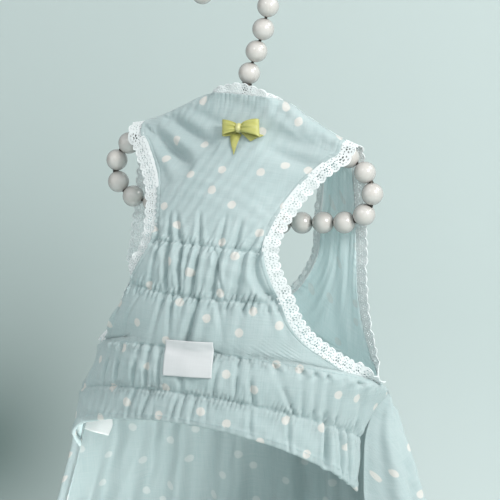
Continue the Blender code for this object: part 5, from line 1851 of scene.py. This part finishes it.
def build_laces(finish, base, sewn, back, right_under):
    """The three laces, each along its own edge."""
    half = (len(back) + 1) // 2
    right = armhole_path(base, sewn, back[:half], right_under)
    flipped = armhole_path(mirrored(base)[:, ::-1], sewn, mirrored(back[half - 1:][::-1]), right_under, True)
    turned = flipped[0] * np.append(np.tile([-1.0, 1.0, 1.0], 3), 1.0)
    neck = neck_path(base, back)
    pieces = []
    for name, node, (path, length), seed in (
            ("lace_armhole_right", "armhole_lace_right", right, 3),
            ("lace_armhole_left", "armhole_lace_left", (turned, flipped[1]), 7),
            ("lace_neckline", "neck_lace", neck, 11)):
        piece = lace_piece(name, path, length, finish, seed)
        dress_up(piece, "lace", node)
        pieces.append(piece)
    return pieces


def build_trim(finishes, chest, base):
    """Bow, label and care slip."""
    skin = chest_skin(chest, base)
    axes = bow_axes(skin)
    pieces = []
    for name, node, side, length, height, bulge in BOW_LOOPS:
        grid = bow_loop(axes, side, length, height, bulge)
        size = (length * 2.1, height)
        chart = np.stack(np.meshgrid(np.linspace(0.0, size[0], grid.shape[1]),
                                     np.linspace(0.0, size[1], grid.shape[0])), axis=2)
        piece = grid_piece(name, grid, chart, finishes["satin"], SATIN_T, True)
        dress_up(piece, "satin", node)
        pieces.append(piece)
    for name, node, angle, length, width, curl in BOW_ENDS:
        grid = bow_tail(skin, angle, length, width, curl)
        chart = grid_chart(grid)
        piece = grid_piece(name, grid, chart, finishes["satin"], SATIN_T)
        dress_up(piece, "satin", node)
        pieces.append(piece)
    # the knot wears the paler satin copy: painted highlight
    knot = bow_knot(axes, finishes["satin_knot_painted_highlight"])
    dress_up(knot, "satin", "bow_knot")
    label = laid_sheet(skin, (LABEL_X, LABEL_Z), (LABEL_W, LABEL_H), LABEL_TILT_DEG, label_lift, 41, 29)
    chart = flat_chart(label, (LABEL_W, LABEL_H))
    tape = grid_piece("label_tape", label, chart, finishes["tape"], TAPE_T)
    dress_up(tape, "tape", "sewn_label")
    slip = care_slip(base)
    chart = flat_chart(slip, (CARE_W, CARE_H))
    care = grid_piece("care_slip", slip, chart, finishes["slip"], TAPE_T)
    dress_up(care, "tape", "care_label")
    return pieces + [knot]


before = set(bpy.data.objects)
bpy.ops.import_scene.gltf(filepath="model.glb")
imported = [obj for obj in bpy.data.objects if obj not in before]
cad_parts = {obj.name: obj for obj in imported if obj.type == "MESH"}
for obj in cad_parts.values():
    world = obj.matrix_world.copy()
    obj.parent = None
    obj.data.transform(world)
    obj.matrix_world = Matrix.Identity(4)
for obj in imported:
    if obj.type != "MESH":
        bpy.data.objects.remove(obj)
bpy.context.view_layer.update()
TREES = {"repeat": repeat_tree(), "place": place_tree()}
SHADERS = {"weave": weave_group()}
FINISHES = {
    "cotton": cotton_material("dotted_cotton", DOT_COVER),
    # painted light: the reverse copy has its colours made brighter; its fainter dots are the print showing
    # through
    "reverse": cotton_material("cotton_reverse_painted_light", DOT_COVER_REVERSE, REVERSE_LIGHT_TONE),
    # painted shade: this copy has its colours made darker, for the skirt's inside
    "shaded": cotton_material("cotton_inside_painted_shade", DOT_COVER_REVERSE, INSIDE_SHADE_TONE),
    "lace": lace_material(), "pearl": pearl_material(), "wire": metal_material(),
    "satin": satin_material("satin_ribbon", SATIN, SATIN_PALE_AND_KNOT_HIGHLIGHT),
    # painted highlight: the knot has a paler copy of the satin, from pale to cream
    "satin_knot_painted_highlight": satin_material("satin_knot_painted_highlight", SATIN_PALE_AND_KNOT_HIGHLIGHT, SATIN_HIGHLIGHT_CREAM),
    "tape": tape_material("label_tape", TAPE), "slip": tape_material("slip_tape", SLIP),
    "thread": thread_material(),
}
build_stage()
place_camera()
light_scene()
chest_piece, stitches, chest, base, sewn, back, right_under = build_cloth(FINISHES)
laces = build_laces(FINISHES["lace"], base, sewn, back, right_under)
bow = build_trim(FINISHES, chest, base)
hanger = build_hanger(FINISHES["pearl"], FINISHES["wire"])
dress_up(hanger, "pearl", "bead_hanger")
